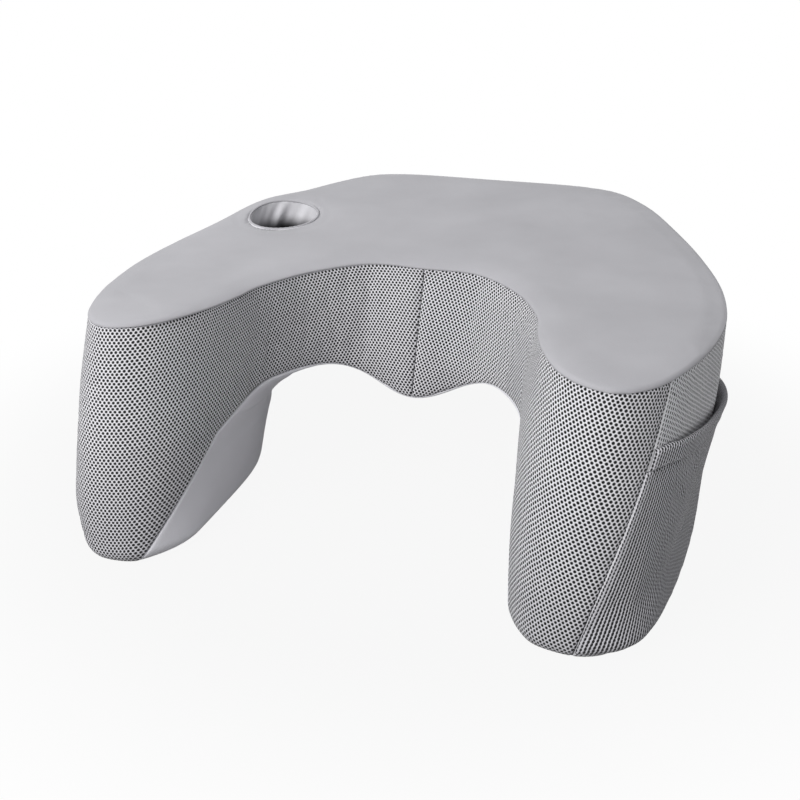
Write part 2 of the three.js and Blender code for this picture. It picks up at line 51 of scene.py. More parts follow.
# Sizes are in millimetres, and places are counted in plan points along the plan. A left panel is built with
# the right half's signs and then mirrored; side is 1 for the right half and -1 for the left.

# Plan of the right half at the top seam: x, y, and how far the foot stands forward and inward of the seam
HALF_PLAN = [
    (0, 0, 54, 0),
    (52, -1, 54, 0),
    (98, -38, 54, 0),
    (126, -90, 58, 0),
    (132, -120, 70, 0),
    (142, -154, 88, 0),
    (162, -193, 78, 0),
    (184, -212, 66, 0),
    (208, -216, 61, 0),
    (230, -199, 65, 1),
    (246, -170, 58, 3),
    (264, -114, 26, 5),
    (274, -44, 4, 8),
    (268, 26, 0, 8),
    (246, 96, 0, 8),
    (215, 165, 0, 5),
    (181, 226, 0, 2),
    (146, 262, 0, 0),
    (112, 273, 0, 0),
    (0, 274, 0, 0),
]
BACK_PLACE = len(HALF_PLAN) - 1
TOE_PLACE = 8
HALF_WIDTH = max(x for x, _, _, _ in HALF_PLAN)

# Walls
SEAM_HEIGHT = 186
WALL_BULGE = 4
WALL_STRETCH = 1.04
FOOT_TAPER = 2
FOOT_RADIUS = 12
FLOOR_CLEAR = 0.8
LEFT_TOE_ROUND = 15
LEFT_TOE_HEIGHT = 50
LEFT_TOE_PLACE = 9.6
LEFT_TOE_SPREAD = 1.5

# Top
TOP_SLOPE = 0.1
TOP_SLOPE_BLEND = 60
TOP_CROWN = 4
EDGE_ROLL = 5.5
TIGHT_ROLL = 2.8
ROLL_WIDTH = 1.25
CROWN_REACH = 22
TOE_GAP = 0.15
TOE_PULL = 0.06
TOE_COLUMNS = 24

# Seams
SIDE_SEAM_FOOT = 7.6
SIDE_SEAM_TOP = 9.7
BACK_PANEL_HALF = 124
LINING_SEAM_FOOT = {1: 5.1, -1: 5.95}
LINING_SEAM_TOP = 4.35
LINING_FLAP_HEIGHT = 85
FLAP_CLEAR = 6
FLAP_RING = 1.5
ARCH_FADE = 0.08
REAR_FADE = 0.05

# Thigh tunnel
TUNNEL_HALF = 136
TUNNEL_DRAFT = 3
ARCH_HEIGHT = 107
RIDGE_HEIGHT = 77
RIDGE_HALF = 90
CORNER_WIDTH = 20
CORNER_DROP = 44
CORNER_FLARE = 0.6
DROP_FLARE = 0.3
FLARE_SLOPE = 0.5
FLARE_START = -58
FLARE_BLEND = 30
FLOOR_FLARE_LEAD = 24
ARCH_EDGE_RADIUS = 7
ARCH_SAG = 3.5
SAG_REACH = 30
LINING_SAG = {1: 3, -1: 20}
LINING_SAG_REACH = 28
LINING_SAG_RING = 2.2
LINING_SAG_SPREAD = 0.7
LINING_SAG_END = 100
LEG_EDGE_RADIUS = 9
LEG_BLEND = 55
NO_RADIUS = 0.01

# Cup well
CUP_X = -185
CUP_Y = 95
CUP_RADIUS = 38
CUP_DEPTH = 72
CUP_SWELL = 7
CUP_MARGIN = 12
SWELL_LEFT = 28
SWELL_BACK = 30
SWELL_REACH = 36
CUP_ACROSS = 0.97
HOLE_CLEAR = 0.6
RIM_RADIUS = 1.2
RIM_INSET = 0.6
RIM_DROP = 0.4
RIM_RIPPLE = 0.12
RIM_RIPPLES = 46
SLEEVE_INSET = 1.4
SLEEVE_FULL = 1.8
SLEEVE_LEAN = 0.8
CUP_CLOTH = 2.0
# Folds of the sleeve: depth, number round the well, twist on the way up, start angle, and how fast they rise
CUP_FOLDS = [(1.7, 5, 0.0, 0.4, None), (1.5, 9, 3.2, 1.0, None), (0.8, 17, 5.0, 2.0, 1.4)]
FOLD_LEAST = 0.25
FOLD_MORE = 1.1
# Painted shade in the cup well: full at the first depth below the rim, gone at the second
CUP_SHADE = (20, 3)
DISH = 0.4
DISH_REACH = 9
DISH_RIPPLE = 0.5
DISH_RIPPLES = 15

# Side pocket
POCKET_REAR = 14.2
POCKET_LEAD = 1
MOUTH_LEAD = 1.2
MOUTH_FRONT = 146
MOUTH_REAR = 94
MOUTH_OVERRUN = 1.1
POCKET_FOOT = 8
POCKET_GAPE = 5.5
GAPE_PLACE = 0.78
HEM_HEIGHT = 14
HEM_STAND = 0.8
HEM_CREASE = 3.0
MOUTH_SLACK = 3.0
FRONT_FULL = 6
FRONT_REACH = 0.5
FRONT_FADE = 0.4
POCKET_FULL = 14.5
FULL_TOP = 60
FULL_FOOT = 10
FULL_SKEW = 0.55
POCKET_PRESS = 2.0
POCKET_THICKNESS = 1.5
POCKET_CLEAR = 0.2
HELD_BEHIND = 0.3
HELD_ABOVE = 6
FIRST_HOLES = 1.2

# Cloth
MESH_THICKNESS = 3.0
GAP = 0.3
KNIT_THICKNESS = 2.4
GRID_STEP = 3.2
EDGE_ROWS = [0, 0.5, 1.1, 1.9, 3.0]
FOAM_SHRINK = 2.5
FOAM_GRAIN = 6
FOAM_TOE_DRAW = 0.3
SEAM_PINCH = 2.6
RIGHT_GRAIN = 11
LEFT_GRAIN = -2
LEFT_BIAS = 0.2
BIAS_END = 6.5
BIAS_FADE = 2
SOLE_LEVEL = 0.3
SOLE_RING = 3.985
SOLE_PINCH = 1.5
SOLE_THICKNESS = 1.6

# Lengths, and steps where they differ, that set the rows and columns of a grid
LINING_ROWS = (520, 5)
TOP_ROWS = (260, 2.6)
SOLE_ROWS = (90, 4)
SOLE_COLUMNS = (400, 4)
POCKET_ROWS = 120
POCKET_COLUMNS = 180

# Stitches and zip; the sizes of a row are spacing, length, width and height
STITCH_ROW = (3.6, 2.7, 0.7, 0.7)
STITCH_STAND = 0.15
HEM_STITCH_RISE = 2.6
ZIP_STITCH_AWAY = 5
TOOTH_ROW = (1.3, 0.95, 2.2, 2.9)
TEETH_START = 0.6
TAPE_FOLD = 0.6
TAPE_FOLD_SHARE = 0.15
TAPE_WAVE = 0.12
TAPE_WAVE_RUN = 9
TAPE_THICKNESS = 1.0
ZIP_END = 2
ZIP_END_FADE = 3

# Mesh cloth: how the holes drift and blur, how a sewn edge draws them, and the painted shade that darkens the
# threads towards the feet
HOLE_DRIFT = 0.9
HOLE_BLUR = (0.28, 0.22)
EDGE_DRAW = -0.15
PAINTED_SHADE_HEIGHT = 130
PAINTED_SHADE_THREAD = "#c6c5ca"

# Cloth settling under the foam's pressure, and how far it may move a panel
SETTLE_CLOTH = {
    "mass": 0.002, "quality": 5, "tension_stiffness": 5, "compression_stiffness": 5, "shear_stiffness": 3,
    "bending_stiffness": 0.05, "use_pressure": True, "uniform_pressure_force": 4.0,
}
SETTLE_FRAMES = 20
WALL_PUFF = 2.5
POCKET_PUFF = 1.5
TOP_PUFF = 1.0

UP = np.array([0, 0, 1.0])
cup_low, cup_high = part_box("cup_base")
cup_x, cup_y = ((cup_low[k] + cup_high[k]) / 2 / MM for k in range(2))
SHIFT = np.array([cup_x - CUP_X, cup_y - CUP_Y, 0.0])
tape_low, tape_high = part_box("zip_tape_lower")
ZIP_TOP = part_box("zip_tape_upper")[1][2] / MM
ZIP_BOTTOM = tape_low[2] / MM
ZIP_MIDDLE = (ZIP_TOP + ZIP_BOTTOM) / 2
ZIP_HALF = (tape_high[0] - tape_low[0]) / 2 / MM


# The walls' surface

def closed_plan():
    right = np.array(HALF_PLAN, float)
    left = right[1:-1][::-1] * np.array([-1, 1, 1, -1])
    return np.vstack([right, left])


PLAN = closed_plan()


def smooth(share):
    return share * share * (3 - 2 * share)


def plan_point(place, height):
    """Point of the plan curve at a place and height, a centripetal spline through the plan's points."""
    place, height = np.broadcast_arrays(np.asarray(place, float), np.asarray(height, float))
    share = np.maximum(0, 1 - height / SEAM_HEIGHT)
    first = np.floor(place).astype(int)
    w = (place - first)[..., None]
    p = []
    for step in (-1, 0, 1, 2):
        row = PLAN[(first + step) % len(PLAN)]
        p.append(np.stack([row[..., 0] - row[..., 3] * share, row[..., 1] - row[..., 2] * share], -1))
    d = [np.sqrt(norm(p[k + 1] - p[k], axis=-1))[..., None] for k in range(3)]
    m1 = ((p[1] - p[0]) / d[0] - (p[2] - p[0]) / (d[0] + d[1]) + (p[2] - p[1]) / d[1]) * d[1]
    m2 = ((p[2] - p[1]) / d[1] - (p[3] - p[1]) / (d[1] + d[2]) + (p[3] - p[2]) / d[2]) * d[1]
    a = 2 * p[1] - 2 * p[2] + m1 + m2
    b = -3 * p[1] + 3 * p[2] - 2 * m1 - m2
    return ((a * w + b) * w + m1) * w + p[1]


def wall_out(place, height):
    """Outward direction of the wall, level, in three dimensions."""
    step = 0.01
    along = plan_point(np.asarray(place) + step, height) - plan_point(np.asarray(place) - step, height)
    along /= norm(along, axis=-1, keepdims=True)
    return np.stack([along[..., 1], -along[..., 0], np.zeros_like(along[..., 0])], -1)


def wall_swell(height):
    """How far the wall stands out of the plan: a soft bulge, a drawn-in foot and the foot's rounding."""
    share = np.clip(height / SEAM_HEIGHT, 0, 1)
    swell = WALL_BULGE * np.sin(np.pi * share) - FOOT_TAPER * (1 - share) ** 2
    low = np.clip(FOOT_RADIUS - height, 0, FOOT_RADIUS)
    return swell - (FOOT_RADIUS - np.sqrt(FOOT_RADIUS ** 2 - low ** 2))


def wall(place, height, out=0.0):
    """Points of the wall at places and heights, standing out by a distance."""
    place, height, out = np.broadcast_arrays(place, np.asarray(height, float), np.asarray(out, float))
    points = np.concatenate([plan_point(place, height), height[..., None]], -1)
    return points + wall_out(place, height) * (wall_swell(height) + out)[..., None]


def left_toe_round(place, height):
    """How far the left leg's outer toe is drawn in towards the floor, more than the right one."""
    low = np.clip(1 - np.asarray(height, float) / LEFT_TOE_HEIGHT, 0, 1)
    near = np.exp(-((np.asarray(place, float) - LEFT_TOE_PLACE) / LEFT_TOE_SPREAD) ** 2)
    return LEFT_TOE_ROUND * low ** 2 * near


def top_height(x, y):
    """Height of the top's seam level: a slope, a crown and the swell of the rim beside the cup well."""
    rise = TOP_SLOPE * 0.5 * (y + np.hypot(y, TOP_SLOPE_BLEND))
    away = (x - CUP_X + SWELL_LEFT) ** 2 + (y - CUP_Y - SWELL_BACK) ** 2
    swell = CUP_SWELL * np.exp(-away / (2 * SWELL_REACH ** 2))
    return SEAM_HEIGHT + rise + TOP_CROWN * (1 - (x / HALF_WIDTH) ** 2) + swell


def seam_height(place, side=1):
    """Height of the top seam at a place of the plan, or at its mirror image on the left."""
    level = plan_point(place, SEAM_HEIGHT)
    return top_height(side * level[..., 0], level[..., 1])


def seam_place(height):
    return SIDE_SEAM_FOOT + (SIDE_SEAM_TOP - SIDE_SEAM_FOOT) * np.asarray(height) / SEAM_HEIGHT


# The pocket's surface

def mouth_height(place):
    """Height of the pocket's mouth, which falls evenly from the front seam to the rear."""
    front = wall(SIDE_SEAM_FOOT + MOUTH_LEAD, MOUTH_FRONT)[1]
    rear = wall(POCKET_REAR, MOUTH_REAR)[1]
    y = wall(place, np.full_like(place, (MOUTH_FRONT + MOUTH_REAR) / 2))[..., 1]
    share = np.clip((y - front) / (rear - front), 0, 1)
    return MOUTH_FRONT + (MOUTH_REAR - MOUTH_FRONT) * share


def pocket_shares(place, height):
    """Shares of the way from the pocket's front seam to its rear, and from its foot to its mouth."""
    start = seam_place(height)
    along = np.clip((place - start) / (POCKET_REAR - start), 0, 1)
    return along, (height - POCKET_FOOT) / (mouth_height(place) - POCKET_FOOT)


def pocket_stand(place, height):
    """How far the pocket stands off the side: it gapes at its mouth and is full above its foot."""
    share, lift = pocket_shares(place, height)
    lift = np.clip(lift, 0, MOUTH_OVERRUN)
    rise = (share / GAPE_PLACE) ** (GAPE_PLACE / (1 - GAPE_PLACE))
    gape = POCKET_GAPE * rise * (1 - share) / (1 - GAPE_PLACE) * lift ** 4
    slack = MOUTH_SLACK * np.sin(np.pi * share) ** 0.5 * lift ** 4
    low = np.sin(np.pi / 2 * np.clip((height - POCKET_FOOT) / FULL_FOOT, 0, 1))
    high = np.clip((height - POCKET_FOOT) / (FULL_TOP - POCKET_FOOT), 0, 1)
    full = POCKET_FULL * low * (1 - high) * np.sin(np.pi * share ** FULL_SKEW) ** 3
    front = 0.5 - 0.5 * np.cos(2 * np.pi * np.clip(share / FRONT_REACH, 0, 1))
    full = np.maximum(full, FRONT_FULL * front * low * (1 - FRONT_FADE * np.clip(lift, 0, 1)))
    return gape + slack + full - pocket_press(place, height)


def pocket_press(place, height):
    """How far the taut pocket presses the side into the foam."""
    share, lift = pocket_shares(place, height)
    return POCKET_PRESS * np.sin(np.pi * np.clip(lift, 0, 1)) * np.sin(np.pi * share) ** 0.5


def pocket_cloth(height, share, lift=0.0):
    """Points of the pocket's face, and the side's outward direction there."""
    place = seam_place(height) + share * (POCKET_REAR - seam_place(height))
    stand = GAP + POCKET_THICKNESS + POCKET_CLEAR + pocket_stand(place, height) + lift
    return wall(place, height, stand), wall_out(place, height)


def pocket_mouth(share):
    """Height of the mouth at shares of the pocket's width."""
    front = SIDE_SEAM_FOOT + POCKET_LEAD
    return mouth_height(front + share * (POCKET_REAR - front))


# The thigh tunnel's surface

def tunnel_half(y):
    run = y - FLARE_START
    return TUNNEL_HALF + FLARE_SLOPE * 0.5 * (run + np.hypot(run, FLARE_BLEND))


def tunnel_point(ring, y):
    """Point of the tunnel's right half. ring runs 0 to 1 over the ridge, to 2 over the flat of the arch, to 3
    round its corner and to 4 down the inner face of the leg."""
    ring, y = np.broadcast_arrays(np.asarray(ring, float), np.asarray(y, float))
    half = tunnel_half(y)
    floor_half = tunnel_half(y + FLOOR_FLARE_LEAD)
    side = half - TUNNEL_DRAFT
    corner = CORNER_WIDTH + CORNER_FLARE * (half - TUNNEL_HALF)
    drop = CORNER_DROP + DROP_FLARE * (half - TUNNEL_HALF)
    turn = np.pi / 2 * np.clip(3 - ring, 0, 1)
    z_ridge = RIDGE_HEIGHT + 0.5 * (ARCH_HEIGHT - RIDGE_HEIGHT) * (1 - np.cos(np.pi * np.clip(ring, 0, 1)))
    foot = ARCH_HEIGHT - drop
    z_side = foot * np.clip(4 - ring, 0, 1)
    x_side = floor_half + (side - floor_half) * z_side / foot
    low = np.clip(LEG_EDGE_RADIUS - z_side, 0, LEG_EDGE_RADIUS)
    x_side = x_side + LEG_EDGE_RADIUS - np.sqrt(LEG_EDGE_RADIUS ** 2 - low ** 2)
    flat = RIDGE_HALF + (side - corner - RIDGE_HALF) * (ring - 1)
    bands = [ring <= 1, ring <= 2, ring <= 3]
    x = np.select(bands, [RIDGE_HALF * ring, flat, side - corner * (1 - np.cos(turn))], x_side)
    z_corner = ARCH_HEIGHT - drop * (1 - np.sin(turn))
    z = np.select(bands, [z_ridge, np.full_like(ring, ARCH_HEIGHT), z_corner], z_side)
    return np.stack([x, y, z], -1)


def ring_at(height):
    """Ring value on the leg's face or the arch's corner at a height."""
    foot = ARCH_HEIGHT - CORNER_DROP
    turn = np.arcsin(np.clip(1 - (ARCH_HEIGHT - height) / CORNER_DROP, 0, 1))
    return np.where(height <= foot, 4 - height / foot, 3 - turn / (np.pi / 2))


def meet_wall(ring, first_place, last_place, y_low, y_high):
    """Place, and y, where the tunnel's line at a ring value meets the wall between two places, by halving."""
    low = np.full_like(ring, y_low)
    high = np.full_like(ring, y_high)
    front = y_high < y_low
    place = np.zeros_like(ring)
    for _ in range(40):
        y = (low + high) / 2
        point = tunnel_point(ring, y)
        a = np.full_like(ring, first_place)
        b = np.full_like(ring, last_place)
        for _ in range(30):
            place = (a + b) / 2
            reach = wall(place, point[..., 2])[..., 0]
            keep = (reach < point[..., 0]) == front
            a = np.where(keep, place, a)
            b = np.where(keep, b, place)
        inside = wall(place, point[..., 2])[..., 1] > y
        inside = np.where(front, ~inside, inside)
        low = np.where(inside, y, low)
        high = np.where(inside, high, y)
    return place, (low + high) / 2


# Grids of points

def arc_steps(points):
    gaps = norm(np.diff(points, axis=0), axis=1)
    return np.concatenate([[0], np.cumsum(gaps)])


def resample(path, points, shares):
    """Values along a path at shares of its length, which its 3-D points measure."""
    length = arc_steps(points)
    at = np.asarray(shares) * length[-1]
    return np.stack([np.interp(at, length, column) for column in np.asarray(path).T], -1)


def border_shares(length, step=GRID_STEP):
    """Shares from 0 to 1 along a length, closer together at both ends, where the cloth turns in to a seam."""
    edge = EDGE_ROWS[-1]
    inner = np.linspace(edge, length - edge, max(4, int((length - 2 * edge) / step)))
    steps = EDGE_ROWS[:-1] + list(inner) + [length - e for e in EDGE_ROWS[:-1][::-1]]
    return np.array(steps) / length


def pinch(distance, depth=SEAM_PINCH):
    """How far the cloth turns in at a distance from its seam."""
    reach = np.clip(depth - distance, 0, depth)
    return depth - np.sqrt(np.maximum(depth ** 2 - reach ** 2, 0))


def grid_normals(points):
    """Unit normals of a grid of points, from its own rows and columns."""
    normal = np.cross(np.gradient(points, axis=1), np.gradient(points, axis=0))
    return normal / np.maximum(norm(normal, axis=2, keepdims=True), 1e-9)


def grid_lengths(points):
    """Lengths along a grid's columns from its first row, and along its rows from its first column."""
    down = np.cumsum(norm(np.diff(points, axis=0, prepend=points[:1]), axis=2), 0)
    over = np.cumsum(norm(np.diff(points, axis=1, prepend=points[:, :1]), axis=2), 1)
    return down, over


# Colours and materials

def linear(hexcode):
    """Linear RGBA of an sRGB hex colour."""
    values = [int(hexcode[k:k + 2], 16) / 255 for k in (1, 3, 5)]
    return (*[v / 12.92 if v <= 0.04045 else ((v + 0.055) / 1.055) ** 2.4 for v in values], 1.0)


def fill(made, inputs):
    """Sets a node's inputs by index or name: to values, or to links from sockets or nodes' first outputs."""
    for key, value in inputs.items():
        if isinstance(value, bpy.types.Node):
            value = value.outputs[0]
        if isinstance(value, bpy.types.NodeSocket):
            made.id_data.links.new(value, made.inputs[key])
        else:
            made.inputs[key].default_value = value


def node(tree, family, kind, inputs=None, **settings):
    """Adds a node with its settings and inputs."""
    made = tree.nodes.new(family + kind)
    for key, value in settings.items():
        setattr(made, key, value)
    fill(made, inputs or {})
    return made


def new_material(name):
    material = bpy.data.materials.new(name)
    material.use_nodes = True
    tree = material.node_tree
    return material, tree.nodes["Principled BSDF"], partial(node, tree, "ShaderNode")


def air_mesh(name, hole, thread, shade, pitch=3.56, rows=4.95, hole_radius=1.14, slit=1.0, edge=0.0):
    """Polyester spacer mesh, warp-knitted with staggered open holes: pale threads round dark holes. A slit
    below 1 draws the holes out along the columns, and a sewn edge shows rounder holes over the given width.
    The threads are darkened towards the feet with painted shade."""
    material, shader, add = new_material(name)
    uv = add("UVMap", uv_map="cloth")
    wobble = add("TexNoise", {"Vector": uv, "Scale": 90.0, "Detail": 1.0})
    drift = add("VectorMath", {0: wobble.outputs["Color"], "Scale": HOLE_DRIFT * MM}, operation="SCALE")
    at = add("VectorMath", {0: uv, 1: drift}, operation="ADD")
    cells = add("VectorMath", {0: at, 1: (pitch * MM, rows * MM, 1.0)}, operation="DIVIDE")
    gaps = []
    for offset in (0.0, 0.5):
        spot = cells
        for operation, value in (("ADD", (offset, offset, 0)), ("FRACTION", (0, 0, 0)),
                                 ("SUBTRACT", (0.5, 0.5, 0)), ("MULTIPLY", (pitch, rows * slit, 0))):
            spot = add("VectorMath", {0: spot, 1: value}, operation=operation)
        gaps.append(add("VectorMath", {0: spot}, operation="LENGTH").outputs["Value"])
    nearest = add("Math", {0: gaps[0], 1: gaps[1]}, operation="MINIMUM")
    if edge:
        across = add("SeparateXYZ", {0: uv})
        drawn = add("MapRange", {"Value": across.outputs["X"], "From Min": 0.8 * edge * MM,
                                 "From Max": 1.2 * edge * MM, "To Min": EDGE_DRAW, "To Max": 0.0})
        nearest = add("Math", {0: nearest, 1: drawn}, operation="SUBTRACT")
    solid = add("MapRange", {"Value": nearest, "From Min": hole_radius - HOLE_BLUR[0],
                             "From Max": hole_radius + HOLE_BLUR[1]}, interpolation_type="SMOOTHSTEP")
    fibre = add("TexNoise", {"Vector": uv, "Scale": 700.0, "Detail": 3.0})
    cloud = add("TexNoise", {"Vector": uv, "Scale": 22.0, "Detail": 2.0})
    both = add("Math", {0: cloud, 1: 0.5, 2: fibre}, operation="MULTIPLY_ADD")
    tone = add("MapRange", {"Value": both, "From Min": 0.45, "From Max": 1.05})
    # Painted shade: the threads darken towards the feet, where shade falls
    parts = add("SeparateXYZ", {0: add("TexCoord").outputs["Object"]})
    unshaded = add("MapRange", {"Value": parts.outputs["Z"], "From Max": PAINTED_SHADE_HEIGHT * MM, "To Min": 0.4},
                interpolation_type="SMOOTHSTEP")
    colour = linear(thread)
    for share, other in ((tone, shade), (unshaded, PAINTED_SHADE_THREAD), (solid, hole)):
        colour = add("Mix", {0: share, 6: linear(other), 7: colour}, data_type="RGBA").outputs[2]
    relief = add("Math", {0: fibre, 1: 0.15, 2: solid}, operation="MULTIPLY_ADD")
    bump = add("Bump", {"Strength": 0.8, "Distance": 0.9 * MM, "Height": relief})
    fill(shader, {"Base Color": colour, "Normal": bump, "Roughness": 0.72, "Sheen Weight": 0.15,
                  "Sheen Roughness": 0.5, "Specular IOR Level": 0.35})
    return material


def smooth_knit(name, light, dark, grain=0.9, sheen=0.25):
    """Brushed stretch knit, warp-knitted polyester: fine even grain, soft cloudy tone, a little sheen."""
    material, shader, add = new_material(name)
    place = add("TexCoord").outputs["Object"]
    cloud = add("TexNoise", {"Vector": place, "Scale": 14.0, "Detail": 3.0})
    fibre = add("TexNoise", {"Vector": place, "Scale": 1 / (grain * MM), "Detail": 2.0})
    both = add("Math", {0: fibre, 1: 0.45, 2: cloud}, operation="MULTIPLY_ADD")
    tone = add("MapRange", {"Value": both, "From Min": 0.45, "From Max": 1.0})
    colour = add("Mix", {0: tone, 6: linear(dark), 7: linear(light)}, data_type="RGBA")
    rough = add("MapRange", {"Value": fibre, "To Min": 0.68, "To Max": 0.85})
    bump = add("Bump", {"Strength": 0.25, "Distance": 0.25 * MM, "Height": fibre})
    fill(shader, {"Base Color": colour.outputs[2], "Normal": bump, "Roughness": rough, "Sheen Weight": sheen,
                  "Sheen Roughness": 0.45, "Specular IOR Level": 0.3})
    return material


def cup_knit(name, light, dark, shade):
    """Stretch knit gathered into a well, paler at the rim, with painted shade that darkens it to near black
    lower down the well.
    """
    material = smooth_knit(name, light, dark)
    add = partial(node, material.node_tree, "ShaderNode")
    shader = material.node_tree.nodes["Principled BSDF"]
    cloth = shader.inputs["Base Color"].links[0].from_socket
    parts = add("SeparateXYZ", {0: add("TexCoord").outputs["Object"]})
    rim = cup_high[2] + (CUP_DEPTH - CUP_CLOTH) * MM
    # Painted shade: the knit darkens to near black lower down the well, where shade falls
    depth = add("MapRange", {"Value": parts.outputs["Z"], "From Min": rim - CUP_SHADE[0] * MM,
                             "From Max": rim - CUP_SHADE[1] * MM}, interpolation_type="SMOOTHSTEP")
    colour = add("Mix", {0: depth, 6: linear(shade), 7: cloth}, data_type="RGBA")
    fill(shader, {"Base Color": colour.outputs[2]})
    return material


def plated_zinc(name):
    """Die-cast zinc with nickel plating, tumbled smooth: bright grey metal with fine wear."""
    material, shader, add = new_material(name)
    wear = add("TexNoise", {"Vector": add("TexCoord").outputs["Object"], "Scale": 900.0, "Detail": 4.0})
    colour = add("Mix", {0: wear, 6: linear("#a8a8a8"), 7: linear("#c9c8c6")}, data_type="RGBA")
    rough = add("MapRange", {"Value": wear, "To Min": 0.22, "To Max": 0.4})
    bump = add("Bump", {"Strength": 0.1, "Distance": 0.1 * MM, "Height": wear})
    fill(shader, {"Base Color": colour.outputs[2], "Normal": bump, "Roughness": rough, "Metallic": 1.0})
    return material


HOLE = "#0c0b0d"
MESH_CLOTH = air_mesh("polyester spacer mesh", HOLE, "#fdfcff", "#e3e2e7")
SIDE_CLOTH = air_mesh("polyester spacer mesh, side", HOLE, "#ffffff", "#efeef3",
                      pitch=7.2, rows=2.9, hole_radius=0.9, slit=0.8)
POCKET_CLOTH = air_mesh("polyester spacer mesh, pocket", HOLE, "#f4f3f8", "#d8d7dc",
                        pitch=5.8, rows=2.9, hole_radius=0.95, slit=0.58, edge=7.0)
TOP_KNIT = smooth_knit("brushed stretch knit, top", "#bfbec2", "#b2b1b5")
LINING_KNIT = smooth_knit("smooth stretch knit, lining", "#f6f5fa", "#ecebf0")
# The last colour is the near-black painted shade lower down the well
CUP_KNIT = cup_knit("gathered stretch knit, cup", "#efeef2", "#e4e3e7", "#161518")
THREAD = smooth_knit("spun polyester thread", "#b9b8bc", "#98979b", grain=0.4)
ZIP_TAPE = smooth_knit("woven polyester zip tape", "#a3a2a7", "#8d8c91", grain=0.6, sheen=0.1)
NYLON = smooth_knit("moulded nylon zip teeth", "#a9a8ad", "#97969b", grain=0.5, sheen=0.0)
FOAM = smooth_knit("cut polyurethane foam", "#efe9d6", "#ddd5bd", grain=1.2, sheen=0.0)
ZINC = plated_zinc("nickel-plated zinc")


# Making pieces

def add_object(name, data):
    made = bpy.data.objects.new(name, data)
    scene.collection.objects.link(made)
    return made


def sew_in(piece, stands_for=None):
    """Lets a piece ride on the cushion, in place of a CAD node where one is given."""
    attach(piece, "cushion")
    if stands_for:
        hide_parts(stands_for)


def grid_mesh(name, points, outward, closed=False):
    """Mesh over a grid of points in millimetres, its faces on the outward side."""
    rows, columns = points.shape[:2]
    index = np.arange(rows * columns).reshape(rows, columns)
    if closed:
        index = np.concatenate([index, index[:, :1]], 1)
    quads = np.stack([index[:-1, :-1], index[:-1, 1:], index[1:, 1:], index[1:, :-1]], -1).reshape(-1, 4)
    flat = points.reshape(-1, 3)
    a, b, c, d = (flat[quads[:, k]] for k in range(4))
    normal = np.cross(c - a, d - b)
    hint = np.broadcast_to(outward, points.shape).reshape(-1, 3)[quads[:, 0]]
    if np.sum(normal * hint) < 0:
        quads = quads[:, ::-1]
    mesh = bpy.data.meshes.new(name)
    mesh.from_pydata(((flat + SHIFT) * MM).tolist(), [], quads.tolist())
    return mesh


def settle(points, outward, most, held=False):
    """Lets a panel puff out between its seams: Cloth with pressure from the foam, sewn borders and the held
    points pinned, each point moved by the given distance at most."""
    trial = add_object("settling", grid_mesh("settling", points, outward))
    pinned = np.zeros(points.shape[:2], bool)
    pinned[[0, 1, -2, -1]] = True
    pinned[:, [0, 1, -2, -1]] = True
    group = trial.vertex_groups.new(name="sewn")
    group.add(np.flatnonzero(pinned | held).tolist(), 1.0, "REPLACE")
    cloth = trial.modifiers.new("settling", "CLOTH")
    cloth.settings.vertex_group_mass = "sewn"
    for key, value in SETTLE_CLOTH.items():
        setattr(cloth.settings, key, value)
    cloth.settings.effector_weights.gravity = 0
    cloth.point_cache.frame_start = 1
    cloth.point_cache.frame_end = SETTLE_FRAMES
    for moment in range(1, SETTLE_FRAMES + 1):
        scene.frame_set(moment)
    evaluated = trial.evaluated_get(bpy.context.evaluated_depsgraph_get())
    moved = np.empty(points.size)
    evaluated.data.vertices.foreach_get("co", moved)
    move = moved.reshape(points.shape) / MM - SHIFT - points
    bpy.data.objects.remove(trial)
    scene.frame_set(1)
    length = norm(move, axis=2, keepdims=True)
    return points + move * most * np.tanh(length / most) / np.maximum(length, 1e-9)


def flat_size(points, closed):
    """Width, length and area in square metres of the flat cut that a grid of points takes."""
    ring = np.concatenate([points, points[:, :1]], 1) if closed else points
    down, over = grid_lengths(ring)
    normal = np.cross(ring[1:, 1:] - ring[:-1, :-1], ring[1:, :-1] - ring[:-1, 1:])
    return down[-1].max() * MM, over[:, -1].max() * MM, norm(normal, axis=2).sum() / 2 * MM * MM


def cloth_piece(name, points, material, stands_for, outward, uv=None, thickness=0.0, closed=False,
                pieces=()):
    """A sheet of cloth over a grid of points in millimetres, with thickness to its inner side."""
    mesh = grid_mesh(name, points, outward, closed)
    if uv is not None:
        layer = mesh.uv_layers.new(name="cloth")
        loops = np.empty(len(mesh.loops), int)
        mesh.loops.foreach_get("vertex_index", loops)
        layer.data.foreach_set("uv", (uv.reshape(-1, 2)[loops] * MM).ravel())
    mesh.materials.append(material)
    mesh.polygons.foreach_set("use_smooth", np.ones(len(mesh.polygons), bool))
    piece = add_object(name, mesh)
    if thickness:
        solid = piece.modifiers.new("thickness", "SOLIDIFY")
        solid.thickness = thickness * MM
        solid.offset = -1
    sew_in(piece, stands_for)
    width, length, area = flat_size(points, closed)
    return piece


def turned(grain, uv):
    """Cloth coordinates turned by the grain's angle in degrees."""
    angle = math.radians(grain)
    u, v = uv[..., 0], uv[..., 1]
    c, s = math.cos(angle), math.sin(angle)
    return np.stack([u * c - v * s, u * s + v * c], -1)


MID_PLACES = np.linspace(0, len(PLAN), 40 * len(PLAN) + 1)
MID_LENGTHS = arc_steps(plan_point(MID_PLACES, SEAM_HEIGHT / 2))


def wall_uv(place, height):
    """Cloth coordinates of the walls in millimetres: along the plan at mid height, and up."""
    up = WALL_STRETCH * np.broadcast_to(height, place.shape)
    return np.stack([np.interp(place, MID_PLACES, MID_LENGTHS), up], -1)


